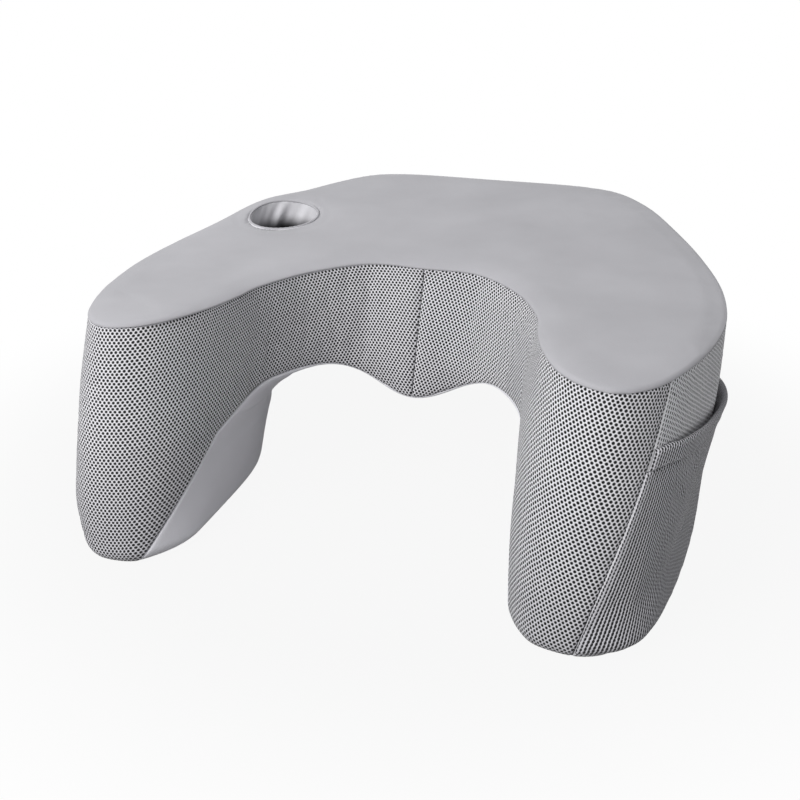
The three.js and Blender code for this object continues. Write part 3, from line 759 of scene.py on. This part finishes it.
def wall_panel(bottom, top, edge_radius):
    """Grid of places, heights, points and outward directions between a bottom and a top border, each of
    (place, height). The bottom edge is rounded by a radius that changes along it."""
    length = norm(wall(*top.T) - wall(*bottom.T), axis=1).max()
    share = border_shares(length)[:, None]
    place = bottom[None, :, 0] * (1 - share) + top[None, :, 0] * share
    height = bottom[None, :, 1] * (1 - share) + top[None, :, 1] * share
    up = height - bottom[None, :, 1]
    radius = np.maximum(edge_radius, NO_RADIUS)[None, :]
    turn = np.pi / 4 * (1 + np.clip(up / radius, 0, 1))
    inset = radius * (1 - np.sin(turn))
    lifted = np.where(up < radius, bottom[None, :, 1] + radius * (1 - np.cos(turn)), height)
    points = wall(place, np.maximum(lifted, FLOOR_CLEAR), -inset)
    return place, lifted, points, wall_out(place, lifted)


def panel_borders(path, first, last, samples, side):
    """Bottom and top borders of a wall panel at the same shares: the bottom along a path of (place, height),
    and the top along the top seam. Also the shares, and the share reached at each path point."""
    points = wall(*path.T)
    length = arc_steps(points)
    shares = border_shares(length[-1])
    seam = np.linspace(first, last, samples)
    seam = np.stack([seam, seam_height(seam, side)], -1)
    return resample(path, points, shares), resample(seam, wall(*seam.T), shares), shares, length / length[-1]


def soften(points, outward, seams=(True, True, True, True), depth=SEAM_PINCH):
    """Turns a panel in along its seams: first row, last row, first column and last column."""
    rows, columns = grid_lengths(points)
    distances = (rows, rows[-1:] - rows, columns, columns[:, -1:] - columns)
    depths = [pinch(d, depth) for d, sewn in zip(distances, seams) if sewn]
    return points - outward * np.max(depths, axis=0)[..., None]


def on_side(points, side):
    """Points or directions of the right half, mirrored where the side is the left one."""
    return points * np.array([side, 1, 1])


# Rows of small pieces along a path, and the stitches

def bead_tree(name, material):
    """Geometry Nodes: one rounded bead after another along a path, turned to follow it."""
    tree = bpy.data.node_groups.new(name, "GeometryNodeTree")
    tree.interface.new_socket("Geometry", in_out="INPUT", socket_type="NodeSocketGeometry")
    for label in ("Spacing", "Length", "Width", "Height"):
        tree.interface.new_socket(label, in_out="INPUT", socket_type="NodeSocketFloat")
    tree.interface.new_socket("Geometry", in_out="OUTPUT", socket_type="NodeSocketGeometry")
    add = partial(node, tree, "GeometryNode")
    start = node(tree, "NodeGroup", "Input").outputs
    path = add("MeshToCurve", {"Mesh": start["Geometry"]})
    spaced = add("ResampleCurve", {"Curve": path, "Length": start["Spacing"]}, mode="LENGTH")
    bead = add("MeshIcoSphere", {"Radius": 0.5, "Subdivisions": 2})
    size = node(tree, "ShaderNode", "CombineXYZ",
                {"X": start["Length"], "Y": start["Width"], "Z": start["Height"]})
    turn = node(tree, "FunctionNode", "AlignRotationToVector", {"Vector": add("InputTangent")}, axis="X")
    placed = add("InstanceOnPoints", {"Points": spaced, "Instance": bead, "Rotation": turn, "Scale": size})
    real = add("RealizeInstances", {"Geometry": placed})
    rounded = add("SetShadeSmooth", {"Geometry": real})
    finish = add("SetMaterial", {"Geometry": rounded, "Material": material})
    node(tree, "NodeGroup", "Output", {"Geometry": finish})
    return tree


def bead_row(name, points, tree, row_sizes, stands_for=None):
    """A row of beads along points in millimetres, as a plain mesh on the cushion."""
    path = bpy.data.meshes.new(name)
    path.from_pydata(((points + SHIFT) * MM).tolist(), [(k, k + 1) for k in range(len(points) - 1)], [])
    guide = add_object(name + "_path", path)
    row = guide.modifiers.new("row", "NODES")
    row.node_group = tree
    sizes = dict(zip(("Spacing", "Length", "Width", "Height"), row_sizes))
    for item in tree.interface.items_tree:
        if item.name in sizes:
            row[item.identifier] = sizes[item.name] * MM
    evaluated = guide.evaluated_get(bpy.context.evaluated_depsgraph_get())
    mesh = bpy.data.meshes.new_from_object(evaluated)
    bpy.data.objects.remove(guide)
    piece = add_object(name, mesh)
    sew_in(piece, stands_for)
    return piece


STITCHES = bead_tree("stitches in a row", THREAD)


def hem_stitches():
    share = np.linspace(0.02, 0.98, 160)
    points = pocket_cloth(pocket_mouth(share) - HEM_HEIGHT + HEM_STITCH_RISE, share, HEM_STAND)[0]
    return bead_row("pocket_hem_stitches", points, STITCHES, STITCH_ROW)


def zip_stitches(name, height):
    x = np.linspace(-ZIP_HALF + 1, ZIP_HALF - 1, 160)
    back = MID_PLACES[(MID_PLACES >= BACK_PLACE - 1.5) & (MID_PLACES < BACK_PLACE + 1.5)]
    places = np.interp(-x, -plan_point(back, SEAM_HEIGHT)[:, 0], back)
    points = wall(places, np.full_like(x, height), STITCH_STAND)
    return bead_row(name, points, STITCHES, STITCH_ROW)


# Front walls

# The arch's edge at the front, from the ridge to the corner
ARCH_RING = np.concatenate([np.linspace(0, 2, 50), np.linspace(2, 2.55, 20)[1:]])
ARCH_PLACE, ARCH_Y = meet_wall(ARCH_RING, 0.0, 6.0, 120.0, -260.0)
ARCH_EDGE = tunnel_point(ARCH_RING, ARCH_Y)


def front_bottom(side):
    """The front panel's lower border: the arch's edge, the lining's seam on the leg, and the toe."""
    seam_foot = LINING_SEAM_FOOT[side]
    arch = np.stack([ARCH_PLACE, ARCH_EDGE[:, 2] - ARCH_SAG], -1)
    keep = (arch[:, 1] > LINING_FLAP_HEIGHT + FLAP_CLEAR) | (ARCH_RING < FLAP_RING)
    share = np.linspace(0, 1, 40)[:, None]
    flap = np.array([LINING_SEAM_TOP, LINING_FLAP_HEIGHT]) * (1 - share) + np.array([seam_foot, 0.0]) * share
    toe = np.stack([np.linspace(seam_foot, SIDE_SEAM_FOOT, 12)[1:], np.zeros(11)], -1)
    return arch[keep], flap, toe


FRONT_BOTTOM = {side: front_bottom(side) for side in (1, -1)}


def front_panel(side, name, node_name):
    arch = FRONT_BOTTOM[side][0]
    path = np.concatenate(FRONT_BOTTOM[side])
    bottom, top, shares, reached = panel_borders(path, 0, SIDE_SEAM_TOP, 200, side)
    fade = np.clip((reached[len(arch) - 1] - shares) / ARCH_FADE, 0, 1)
    place, height, grid, outward = wall_panel(bottom, top, ARCH_EDGE_RADIUS * smooth(fade))
    if side < 0:
        grid = grid - outward * left_toe_round(place, height)[..., None]
    grid = soften(grid, outward, (True, True, True, side > 0))
    grid = settle(grid, outward, WALL_PUFF)
    uv = wall_uv(place, height) * np.array([side, 1])
    if side < 0:
        bias = np.clip((BIAS_END - place) / BIAS_FADE, 0, 1)
        uv[..., 0] += LEFT_BIAS * smooth(bias) * (height - SEAM_HEIGHT / 2)
    uv = turned(RIGHT_GRAIN if side > 0 else LEFT_GRAIN, uv)
    cloth_piece(name, on_side(grid, side), MESH_CLOTH, node_name, on_side(outward, side), uv,
                MESH_THICKNESS)


front_panel(1, "front_air_mesh_right", "front_mesh_right")
front_panel(-1, "front_air_mesh_left", "front_mesh_left")


# Side walls

# The tunnel's edge at the rear, from the floor up to the ridge
REAR_RING = np.concatenate([
    np.linspace(4, 3, 40),
    np.linspace(3, 2, 16)[1:],
    np.linspace(2, 1, 40)[1:],
    np.linspace(1, 0, 40)[1:],
])
REAR_PLACE, REAR_Y = meet_wall(REAR_RING, 12.0, float(BACK_PLACE), 0.0, 330.0)
REAR_HEIGHT = tunnel_point(REAR_RING, REAR_Y)[..., 2]


def place_of_x(x):
    places = np.linspace(14, BACK_PLACE, 400)
    return float(np.interp(-x, -plan_point(places, SEAM_HEIGHT)[:, 0], places))


BACK_SEAM = place_of_x(BACK_PANEL_HALF)


def side_panel(side, name, node_name):
    floor = np.linspace(SIDE_SEAM_FOOT, REAR_PLACE[0], 80)[:-1]
    rear = REAR_PLACE < BACK_SEAM
    path = np.concatenate([
        np.stack([floor, np.zeros_like(floor)], -1),
        np.stack([REAR_PLACE[rear], REAR_HEIGHT[rear]], -1),
        [[BACK_SEAM, np.interp(BACK_SEAM, REAR_PLACE, REAR_HEIGHT)]],
    ])
    bottom, top, shares, reached = panel_borders(path, SIDE_SEAM_TOP, BACK_SEAM, 300, side)
    fade = np.clip((shares - reached[len(floor)]) / REAR_FADE, 0, 1)
    place, height, grid, outward = wall_panel(bottom, top, ARCH_EDGE_RADIUS * smooth(fade))
    drawn_in = pocket_press if side > 0 else left_toe_round
    grid = grid - outward * drawn_in(place, height)[..., None]
    grid = soften(grid, outward, (True, True, side > 0, True))
    held = (side > 0) & (place < POCKET_REAR + HELD_BEHIND) & (height < mouth_height(place) + HELD_ABOVE)
    grid = settle(grid, outward, WALL_PUFF, held)
    uv = wall_uv(place, height) * np.array([side, 1])
    if side > 0:
        uv[..., 0] -= wall_uv(seam_place(height), height)[..., 0]
    else:
        uv = turned(LEFT_GRAIN, uv)
    cloth = SIDE_CLOTH if side > 0 else MESH_CLOTH
    cloth_piece(name, on_side(grid, side), cloth, node_name, on_side(outward, side), uv,
                MESH_THICKNESS)


side_panel(1, "side_air_mesh_right", "side_mesh_right")
side_panel(-1, "side_air_mesh_left", "side_mesh_left")


# Back walls, above and below the zip

def back_panel(upper, name, node_name):
    span = np.linspace(BACK_SEAM, 2 * BACK_PLACE - BACK_SEAM, 240)
    reach = np.clip((ZIP_HALF + ZIP_END - np.abs(plan_point(span, SEAM_HEIGHT)[:, 0])) / ZIP_END_FADE, 0, 1)
    gap = GAP + reach * ((ZIP_TOP - ZIP_BOTTOM) / 2)
    if upper:
        bottom, top = ZIP_MIDDLE + gap, seam_height(span)
        radius, stitched = 0.0, ZIP_TOP + ZIP_STITCH_AWAY
    else:
        right_place = np.where(span > BACK_PLACE, 2 * BACK_PLACE - span, span)
        bottom, top = np.interp(right_place, REAR_PLACE, REAR_HEIGHT), ZIP_MIDDLE - gap
        radius, stitched = ARCH_EDGE_RADIUS, ZIP_BOTTOM - ZIP_STITCH_AWAY
    place, height, grid, outward = wall_panel(np.stack([span, bottom], -1), np.stack([span, top], -1),
                                              np.full_like(span, radius))
    grid = soften(grid, outward)
    stitches = zip_stitches(name.replace("back_air_mesh", "zip_stitches"), stitched)
    cloth_piece(name, grid, MESH_CLOTH, node_name, outward, wall_uv(place, height),
                MESH_THICKNESS, pieces=[stitches])


back_panel(True, "back_air_mesh_upper", "back_mesh_upper")
back_panel(False, "back_air_mesh_lower", "back_mesh_lower")


# Thigh tunnel's lining

def lining_half(side):
    """The lining's borders for one half, from the ridge out to the floor, with the right half's signs."""
    arch, flap, _ = FRONT_BOTTOM[side]
    path = np.concatenate([arch, flap[1:]])
    points = wall(*path.T)
    length = arc_steps(points)
    shares = np.concatenate([[0.0], border_shares(length[-1])[len(EDGE_ROWS) - 1:]])
    start = resample(path, points, shares)
    on_arch = shares <= length[len(arch) - 1] / length[-1]
    x = wall(*start.T)[:, 0]
    ring = np.where(on_arch, np.interp(x, ARCH_EDGE[:, 0], ARCH_RING), ring_at(np.maximum(start[:, 1], 0)))
    ring = np.maximum.accumulate(ring)
    rear_y = np.interp(-ring, -REAR_RING, REAR_Y)
    return start, ring, rear_y, on_arch


def lining_grid(side):
    """Grid of points of one half of the lining, front border to rear border, with the right half's signs."""
    start, ring, rear_y, on_arch = lining_half(side)
    first = wall(start[:, 0], np.maximum(start[:, 1], FLOOR_CLEAR))
    share = border_shares(*LINING_ROWS)[:, None]
    y = first[None, :, 1] * (1 - share) + rear_y[None, :] * share
    grid = tunnel_point(np.broadcast_to(ring, y.shape), y)
    from_front = y - first[None, :, 1]
    behind = np.maximum(from_front, 0)
    grid[..., 2] -= np.where(on_arch, ARCH_SAG, 0) * np.exp(-behind / SAG_REACH)
    spanned = np.exp(-((ring - LINING_SAG_RING) / LINING_SAG_SPREAD) ** 2)
    spanned = spanned * np.clip((rear_y - y) / LINING_SAG_END, 0, 1)
    grid[..., 2] -= LINING_SAG[side] * spanned * (1 - np.exp(-behind / LINING_SAG_REACH))
    blend = np.clip(from_front / LEG_BLEND, 0, 1)
    blend = np.where(on_arch, 1.0, blend * (2 - blend))
    grid[..., 0] = first[None, :, 0] * (1 - blend) + grid[..., 0] * blend
    face = np.clip(ring - 2, 0, 1)
    for distance, sign in ((from_front, 1), (rear_y[None, :] - y, -1)):
        radius = np.where(on_arch | (sign < 0), ARCH_EDGE_RADIUS, NO_RADIUS)
        near = distance < radius
        turn = np.pi / 4 * (1 - np.clip(distance / radius, 0, 1))
        lift = np.where(near, radius * (1 - np.cos(turn)), 0)
        grid[..., 2] += lift * (1 - face)
        grid[..., 0] += lift * face
        grid[..., 1] += sign * np.where(near, radius * (1 - np.sin(turn)) - distance, 0)
    grid[..., 2] = np.maximum(grid[..., 2], FLOOR_CLEAR)
    return grid


def lining():
    whole = np.concatenate([on_side(lining_grid(-1), -1)[:, :0:-1], lining_grid(1)], 1)
    hint = grid_normals(whole)
    if np.sum(hint * -UP) < 0:
        hint = -hint
    whole = soften(whole, hint, (True, True, False, False))
    cloth_piece("tunnel_knit", whole, LINING_KNIT, "tunnel_lining", hint, None, KNIT_THICKNESS)


lining()


# Knit top

def top_half():
    """Grid of the top's right half: across from the belly curve to the outer edge, along from the middle."""
    along = np.linspace(0, 1, 150)
    edges = []
    for first, last in ((0, TOE_PLACE - TOE_GAP), (BACK_PLACE, TOE_PLACE + TOE_GAP)):
        places = np.linspace(first, last, 300)
        edges.append(resample(places[:, None], plan_point(places, SEAM_HEIGHT), along)[:, 0])
    inner, outer = edges
    across = border_shares(*TOP_ROWS)[:, None]
    near = plan_point(inner, SEAM_HEIGHT)[None]
    far = plan_point(outer, SEAM_HEIGHT)[None]
    level = near * (1 - across[..., None]) + far * across[..., None]
    toe = plan_point(inner[-1] * (1 - across) + outer[-1] * across, SEAM_HEIGHT)
    pull = np.clip(1 - (1 - along) / TOE_PULL, 0, 1)[None, :, None] ** 2
    return level + (toe - level[:, -1:]) * pull


def edge_distance(level):
    """Distance of each level point to the plan's outline, in batches of the outline's pieces."""
    rim = plan_point(np.linspace(0, len(PLAN), 1201), SEAM_HEIGHT)
    start, run = rim[:-1], np.diff(rim, axis=0)
    flat = level.reshape(-1, 2)
    best = np.full(len(flat), np.inf)
    batches = 40
    for a, d in zip(np.array_split(start, batches), np.array_split(run, batches)):
        share = ((flat[:, None] - a) * d).sum(2) / (d * d).sum(1)
        near = a + np.clip(share, 0, 1)[..., None] * d
        best = np.minimum(best, norm(flat[:, None] - near, axis=2).min(1))
    return best.reshape(level.shape[:2])


def top_cover():
    half = top_half()
    level = np.concatenate([half[:, :0:-1] * np.array([-1, 1]), half], 1)
    distance = edge_distance(level)
    distance[[0, -1]] = 0
    distance[:, [0, -1]] = 0
    roll = np.clip(1 - distance / (ROLL_WIDTH * TIGHT_ROLL), 0, 1)
    crown = np.clip(1 - distance / CROWN_REACH, 0, 1)
    lift = TIGHT_ROLL * np.sqrt(1 - roll ** 2) + (EDGE_ROLL - TIGHT_ROLL) * (1 - crown ** 2)
    z = top_height(level[..., 0], level[..., 1]) + lift
    grid = np.concatenate([level, z[..., None]], -1)
    held = np.hypot(level[..., 0] - CUP_X, level[..., 1] - CUP_Y) < CUP_RADIUS + CUP_MARGIN
    held[:, :TOE_COLUMNS] = True
    held[:, -TOE_COLUMNS:] = True
    grid = settle(grid, UP, TOP_PUFF, held)
    return cloth_piece("top_knit", grid, TOP_KNIT, "top_panel", UP, level, KNIT_THICKNESS)


def cut_cup_hole(piece, radius):
    """Opens a round hole over the cup well in a level sheet and draws the hole's border to the circle."""
    mesh = piece.data
    work = bmesh.new()
    work.from_mesh(mesh)
    centre = Vector(((CUP_X + SHIFT[0]) * MM, (CUP_Y + SHIFT[1]) * MM))
    oval = Vector((CUP_ACROSS, 1.0))
    widen = Vector((1 / CUP_ACROSS, 1.0))
    inside = [v for v in work.verts if ((v.co.xy - centre) * widen).length < radius * MM]
    bmesh.ops.delete(work, geom=inside, context="VERTS")
    for v in work.verts:
        away = (v.co.xy - centre) * widen
        if v.is_boundary and away.length < (radius + CUP_MARGIN) * MM:
            v.co.xy = centre + away.normalized() * oval * radius * MM
            v.co.z -= HOLE_CLEAR * MM
    work.to_mesh(mesh)
    work.free()


cut_cup_hole(top_cover(), CUP_RADIUS + HOLE_CLEAR)


# Cup well: gathered sleeve, floor and bound rim

CUP_FLOOR = cup_high[2] / MM
CUP_RISE = float(top_height(CUP_X, CUP_Y)) + EDGE_ROLL - CUP_FLOOR


def cup_points(radius, angle, height):
    """Points round the well; the upper ones follow the slope of the top."""
    x = CUP_X + CUP_ACROSS * radius * np.cos(angle)
    y = CUP_Y + radius * np.sin(angle)
    tilt = top_height(x, y) - top_height(CUP_X, CUP_Y)
    return np.stack([x, y, CUP_FLOOR + height + tilt * height / CUP_RISE], -1)


def cup_well():
    angle = np.linspace(0, 2 * np.pi, 240, endpoint=False)[None]
    turn = np.linspace(0, 2 * np.pi, 16, endpoint=False)[:, None]
    ring, rise = CUP_RADIUS - RIM_INSET, CUP_RISE - RIM_DROP
    ripple = RIM_RIPPLE * np.cos(RIM_RIPPLES * angle)
    binding = cup_points(ring + RIM_RADIUS * np.cos(turn), angle, rise + RIM_RADIUS * np.sin(turn) + ripple)
    binding = np.concatenate([binding, binding[:1]], 0)
    rim = cloth_piece("cup_rim_binding", binding, TOP_KNIT, "cup_rim",
                      binding - cup_points(ring, angle, rise), closed=True)
    height = np.linspace(0, CUP_RISE - 1.0, 60)[:, None]
    share = height / CUP_RISE
    slack = np.sin(np.pi * np.clip(share, 0, 1) ** 1.3) ** 0.7
    folds = 0
    for depth, count, twist, start, rising in CUP_FOLDS:
        wave = depth * np.cos(count * (angle + SLEEVE_LEAN * share) + twist * share + start)
        folds = folds + wave * (np.clip(rising * share, 0, 1) if rising else 1)
    folds = folds * (FOLD_LEAST + FOLD_MORE * np.sin(angle / 2) ** 2)
    sleeve = cup_points(CUP_RADIUS - SLEEVE_INSET + folds * slack + SLEEVE_FULL * slack, angle, height)
    inward = (np.array([CUP_X, CUP_Y, 0.0]) - sleeve) * np.array([1, 1, 0])
    cloth_piece("cup_knit_sleeve", sleeve, CUP_KNIT, "cup_sleeve", inward, None, CUP_CLOTH, True,
                pieces=[rim])
    spread = np.linspace(0.2, CUP_RADIUS - 1, 22)[:, None]
    ripple = DISH_RIPPLE * np.cos(DISH_RIPPLES * angle) * (spread / CUP_RADIUS) ** 3
    floor = cup_points(spread, angle, ripple - DISH * np.exp(-(spread / DISH_REACH) ** 2))
    cloth_piece("cup_knit_floor", floor, CUP_KNIT, "cup_base", UP, None, CUP_CLOTH, True)


cup_well()


# Side pocket

def cloth_lengths(points):
    """Cloth coordinates from the lengths along a grid's own rows and columns, in millimetres."""
    down, over = grid_lengths(points)
    return np.stack([over + FIRST_HOLES, down], -1)


def pocket():
    share = border_shares(POCKET_COLUMNS)[None, :]
    mouth = pocket_mouth(share)
    rows = border_shares(POCKET_ROWS)[:, None]
    grid, outward = pocket_cloth(POCKET_FOOT + rows * (mouth - HEM_HEIGHT - POCKET_FOOT), share)
    grid = soften(grid, outward, (True, False, True, True), POCKET_THICKNESS)
    grid = soften(grid, outward, (False, True, False, False), HEM_CREASE)
    grid = settle(grid, outward, POCKET_PUFF)
    cloth_piece("pocket_air_mesh", grid, POCKET_CLOTH, "pocket_panel", outward,
                cloth_lengths(grid), POCKET_THICKNESS, pieces=[hem_stitches()])
    # The hem: down its front, round the lip and down behind
    lip = (MESH_THICKNESS + POCKET_THICKNESS) / 2
    front = border_shares(HEM_HEIGHT - lip, 2.2)[::-1] * (HEM_HEIGHT - lip)
    round_steps = np.linspace(0, np.pi, 9)
    rear = np.linspace(1, HEM_HEIGHT, 8)
    fall = np.concatenate([front, np.zeros(len(round_steps)), rear])[:, None]
    turn = np.concatenate([np.zeros(len(front)), round_steps, np.full(len(rear), np.pi)])[:, None]
    height = mouth - lip - fall + lip * np.sin(turn)
    grid, face = pocket_cloth(height, share, HEM_STAND - lip * (1 - np.cos(turn)))
    grid = soften(grid, face, (False, False, True, True), POCKET_THICKNESS)
    grid = soften(grid, face, (True, False, False, False), HEM_CREASE)
    outward = face * np.where(turn < np.pi / 2, 1, -1)[..., None]
    cloth_piece("pocket_hem_fold", grid, POCKET_CLOTH, "pocket_hem", outward, cloth_lengths(grid))


pocket()


# Soles under the legs

def sole(side, name, node_name):
    samples = 400
    outer_place = np.linspace(LINING_SEAM_FOOT[side], REAR_PLACE[0], samples)
    drawn_in = left_toe_round(outer_place, 0) if side < 0 else 0
    outer = wall(outer_place, np.full(samples, FLOOR_CLEAR), -drawn_in)[:, :2]
    ys = np.linspace(outer[0, 1] + 1, outer[-1, 1], samples)
    inner = tunnel_point(np.full(samples, SOLE_RING), ys)[:, :2]
    blend = np.clip((ys - ys[0]) / LEG_BLEND, 0, 1)
    blend = (blend * (2 - blend))[:, None]
    inner[:, :1] = outer[0, 0] * (1 - blend) + inner[:, :1] * blend
    along = border_shares(*SOLE_COLUMNS)
    across = border_shares(*SOLE_ROWS)[:, None, None]
    level = resample(outer, outer, along)[None] * (1 - across) + resample(inner, inner, along)[None] * across
    grid = np.concatenate([level, np.full(level.shape[:2] + (1,), SOLE_LEVEL)], -1)
    grid = on_side(soften(grid, -UP, (True, True, False, False), SOLE_PINCH), side)
    cloth_piece(name, grid, LINING_KNIT, node_name, -UP, None, SOLE_THICKNESS)


sole(1, "sole_knit_right", "sole_right")
sole(-1, "sole_knit_left", "sole_left")


# Zip across the back

def plan_box(node_name):
    """Low and high corners of a node, in the plan's millimetres."""
    return [np.array(corner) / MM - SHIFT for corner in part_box(node_name)]


def tape(name, node_name, upper):
    low, high = plan_box(node_name)
    x = np.linspace(low[0], high[0], 160)[None, :]
    z = np.linspace(low[2], high[2], 14)[:, None]
    fold = np.clip((z - low[2]) / (high[2] - low[2]), 0, 1)
    fold = fold if upper else 1 - fold
    turned_in = TAPE_FOLD * np.clip(1 - fold / TAPE_FOLD_SHARE, 0, 1)
    y = high[1] - turned_in + TAPE_WAVE * np.sin(x / TAPE_WAVE_RUN)
    grid = np.stack(np.broadcast_arrays(x, y, z), -1)
    cloth_piece(name, grid, ZIP_TAPE, node_name, np.array([0, 1.0, 0]), None, TAPE_THICKNESS)


tape("zip_tape_woven_upper", "zip_tape_upper", True)
tape("zip_tape_woven_lower", "zip_tape_lower", False)

ZIP_TEETH = bead_tree("zip teeth in a row", NYLON)


def zip_teeth(name, node_name, lag):
    low, high = plan_box(node_name)
    middle = (low + high) / 2
    x = np.linspace(low[0] + TEETH_START + lag, high[0] - TOOTH_ROW[0] + lag, 200)
    points = np.stack([x, np.full_like(x, middle[1]), np.full_like(x, middle[2])], -1)
    bead_row(name, points, ZIP_TEETH, TOOTH_ROW, node_name)


zip_teeth("zip_teeth_upper", "zip_coil_upper", 0.0)
zip_teeth("zip_teeth_lower", "zip_coil_lower", TOOTH_ROW[0] / 2)

for metal_node in ("zip_slider", "zip_pull", "zip_stop_left", "zip_stop_right"):
    metal_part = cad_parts[metal_node]
    metal_part.data.materials.clear()
    metal_part.data.materials.append(ZINC)


# Foam inside the cover

LEFT_LEG_MIDDLE = Vector((-205 * MM, -90 * MM))


def foam_pad():
    """The foam body under the cover, with a fine even skin."""
    piece = add_object("foam_body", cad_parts["foam_core"].data.copy())
    remesh = piece.modifiers.new("fine skin", "REMESH")
    remesh.mode = "VOXEL"
    remesh.voxel_size = FOAM_GRAIN * MM
    remesh.use_smooth_shade = True
    evaluated = piece.evaluated_get(bpy.context.evaluated_depsgraph_get())
    mesh = bpy.data.meshes.new_from_object(evaluated)
    piece.modifiers.clear()
    piece.data = mesh
    for vertex, normal in zip(mesh.vertices, [n.vector.copy() for n in mesh.vertex_normals]):
        vertex.co -= normal * FOAM_SHRINK * MM
        if vertex.co.x < 0:
            low = max(0.0, 1 - vertex.co.z / (LEFT_TOE_HEIGHT * MM))
            vertex.co.xy += (LEFT_LEG_MIDDLE - vertex.co.xy) * FOAM_TOE_DRAW * low ** 2
    mesh.materials.clear()
    mesh.materials.append(FOAM)
    sew_in(piece, "foam_core")


foam_pad()


# Studio: camera at the photograph's angle, white floor and soft lamps

LENS = 45
SENSOR = 36
EYE = np.array([264.8, -860.0, 474.5])
TARGET = np.array([-23.0, 0.0, 55.0])
FLOOR_REACH = 6.0
FLOOR_DROP = 0.0002
LAMP_TARGET = Vector((0, 0, 0.1))
# Each lamp's place in metres, power in watts and size in metres
LAMPS = {
    "key lamp": ((-0.9, -1.6, 1.3), 35, 1.2),
    "fill lamp": ((1.7, -1.2, 0.5), 5, 1.4),
    "top lamp": ((-0.8, 1.0, 1.7), 9, 1.6),
}


def aim(thing, place, target):
    thing.location = place
    thing.rotation_euler = (target - place).to_track_quat("-Z", "Y").to_euler()


def add_camera():
    data = bpy.data.cameras.new("camera")
    data.lens = LENS
    data.sensor_width = SENSOR
    camera = add_object("camera", data)
    aim(camera, Vector((EYE + SHIFT) * MM), Vector((TARGET + SHIFT) * MM))
    scene.camera = camera


def add_lamp(name, place, power, size):
    data = bpy.data.lights.new(name, "AREA")
    data.energy = power
    data.size = size
    aim(add_object(name, data), Vector(place), LAMP_TARGET)


def seen_rays(add, *kinds):
    """A node that gives 1 for the camera's rays and for the other kinds of ray named."""
    ray = add("LightPath")
    seen = ray.outputs["Is Camera Ray"]
    for kind in kinds:
        seen = add("Math", {0: seen, 1: ray.outputs[kind]}, operation="MAXIMUM")
    return seen


def bare_tree(holder):
    """Clears a material's or a world's nodes, and gives the function that adds new ones."""
    holder.use_nodes = True
    holder.node_tree.nodes.clear()
    return partial(node, holder.node_tree, "ShaderNode")


def add_floor():
    corners = [(-1, -1), (1, -1), (1, 1), (-1, 1)]
    mesh = bpy.data.meshes.new("floor")
    mesh.from_pydata([(x * FLOOR_REACH, y * FLOOR_REACH, 0) for x, y in corners], [], [(0, 1, 2, 3)])
    floor = add_object("floor", mesh)
    floor.location.z = -FLOOR_DROP
    material = bpy.data.materials.new("white studio floor")
    add = bare_tree(material)
    seen = seen_rays(add, "Is Glossy Ray", "Is Transmission Ray")
    away = add("VectorMath", {0: add("TexCoord").outputs["Object"]}, operation="LENGTH")
    fade = add("MapRange", {"Value": away.outputs["Value"], "From Min": 0.3, "From Max": 0.62, "To Min": 0.92,
                            "To Max": 1.0}, interpolation_type="SMOOTHSTEP")
    share = add("Math", {0: seen, 1: fade}, operation="MULTIPLY")
    matt = add("BsdfDiffuse", {"Color": linear("#707070")})
    glow = add("Emission", {"Color": (1, 1, 1, 1), "Strength": 1.0})
    add("OutputMaterial", {"Surface": add("MixShader", {0: share, 1: matt, 2: glow})})
    mesh.materials.append(material)


def add_world():
    scene.world = bpy.data.worlds.new("studio")
    add = bare_tree(scene.world)
    seen = seen_rays(add, "Is Transmission Ray")
    soft = add("Background", {"Color": linear("#f2f3f6"), "Strength": 0.38})
    white = add("Background", {"Color": (1, 1, 1, 1), "Strength": 1.0})
    add("OutputWorld", {"Surface": add("MixShader", {0: seen, 1: soft, 2: white})})


add_camera()
add_floor()
add_world()
for lamp_name, lamp in LAMPS.items():
    add_lamp(lamp_name, *lamp)

scene.view_settings.view_transform = "Standard"
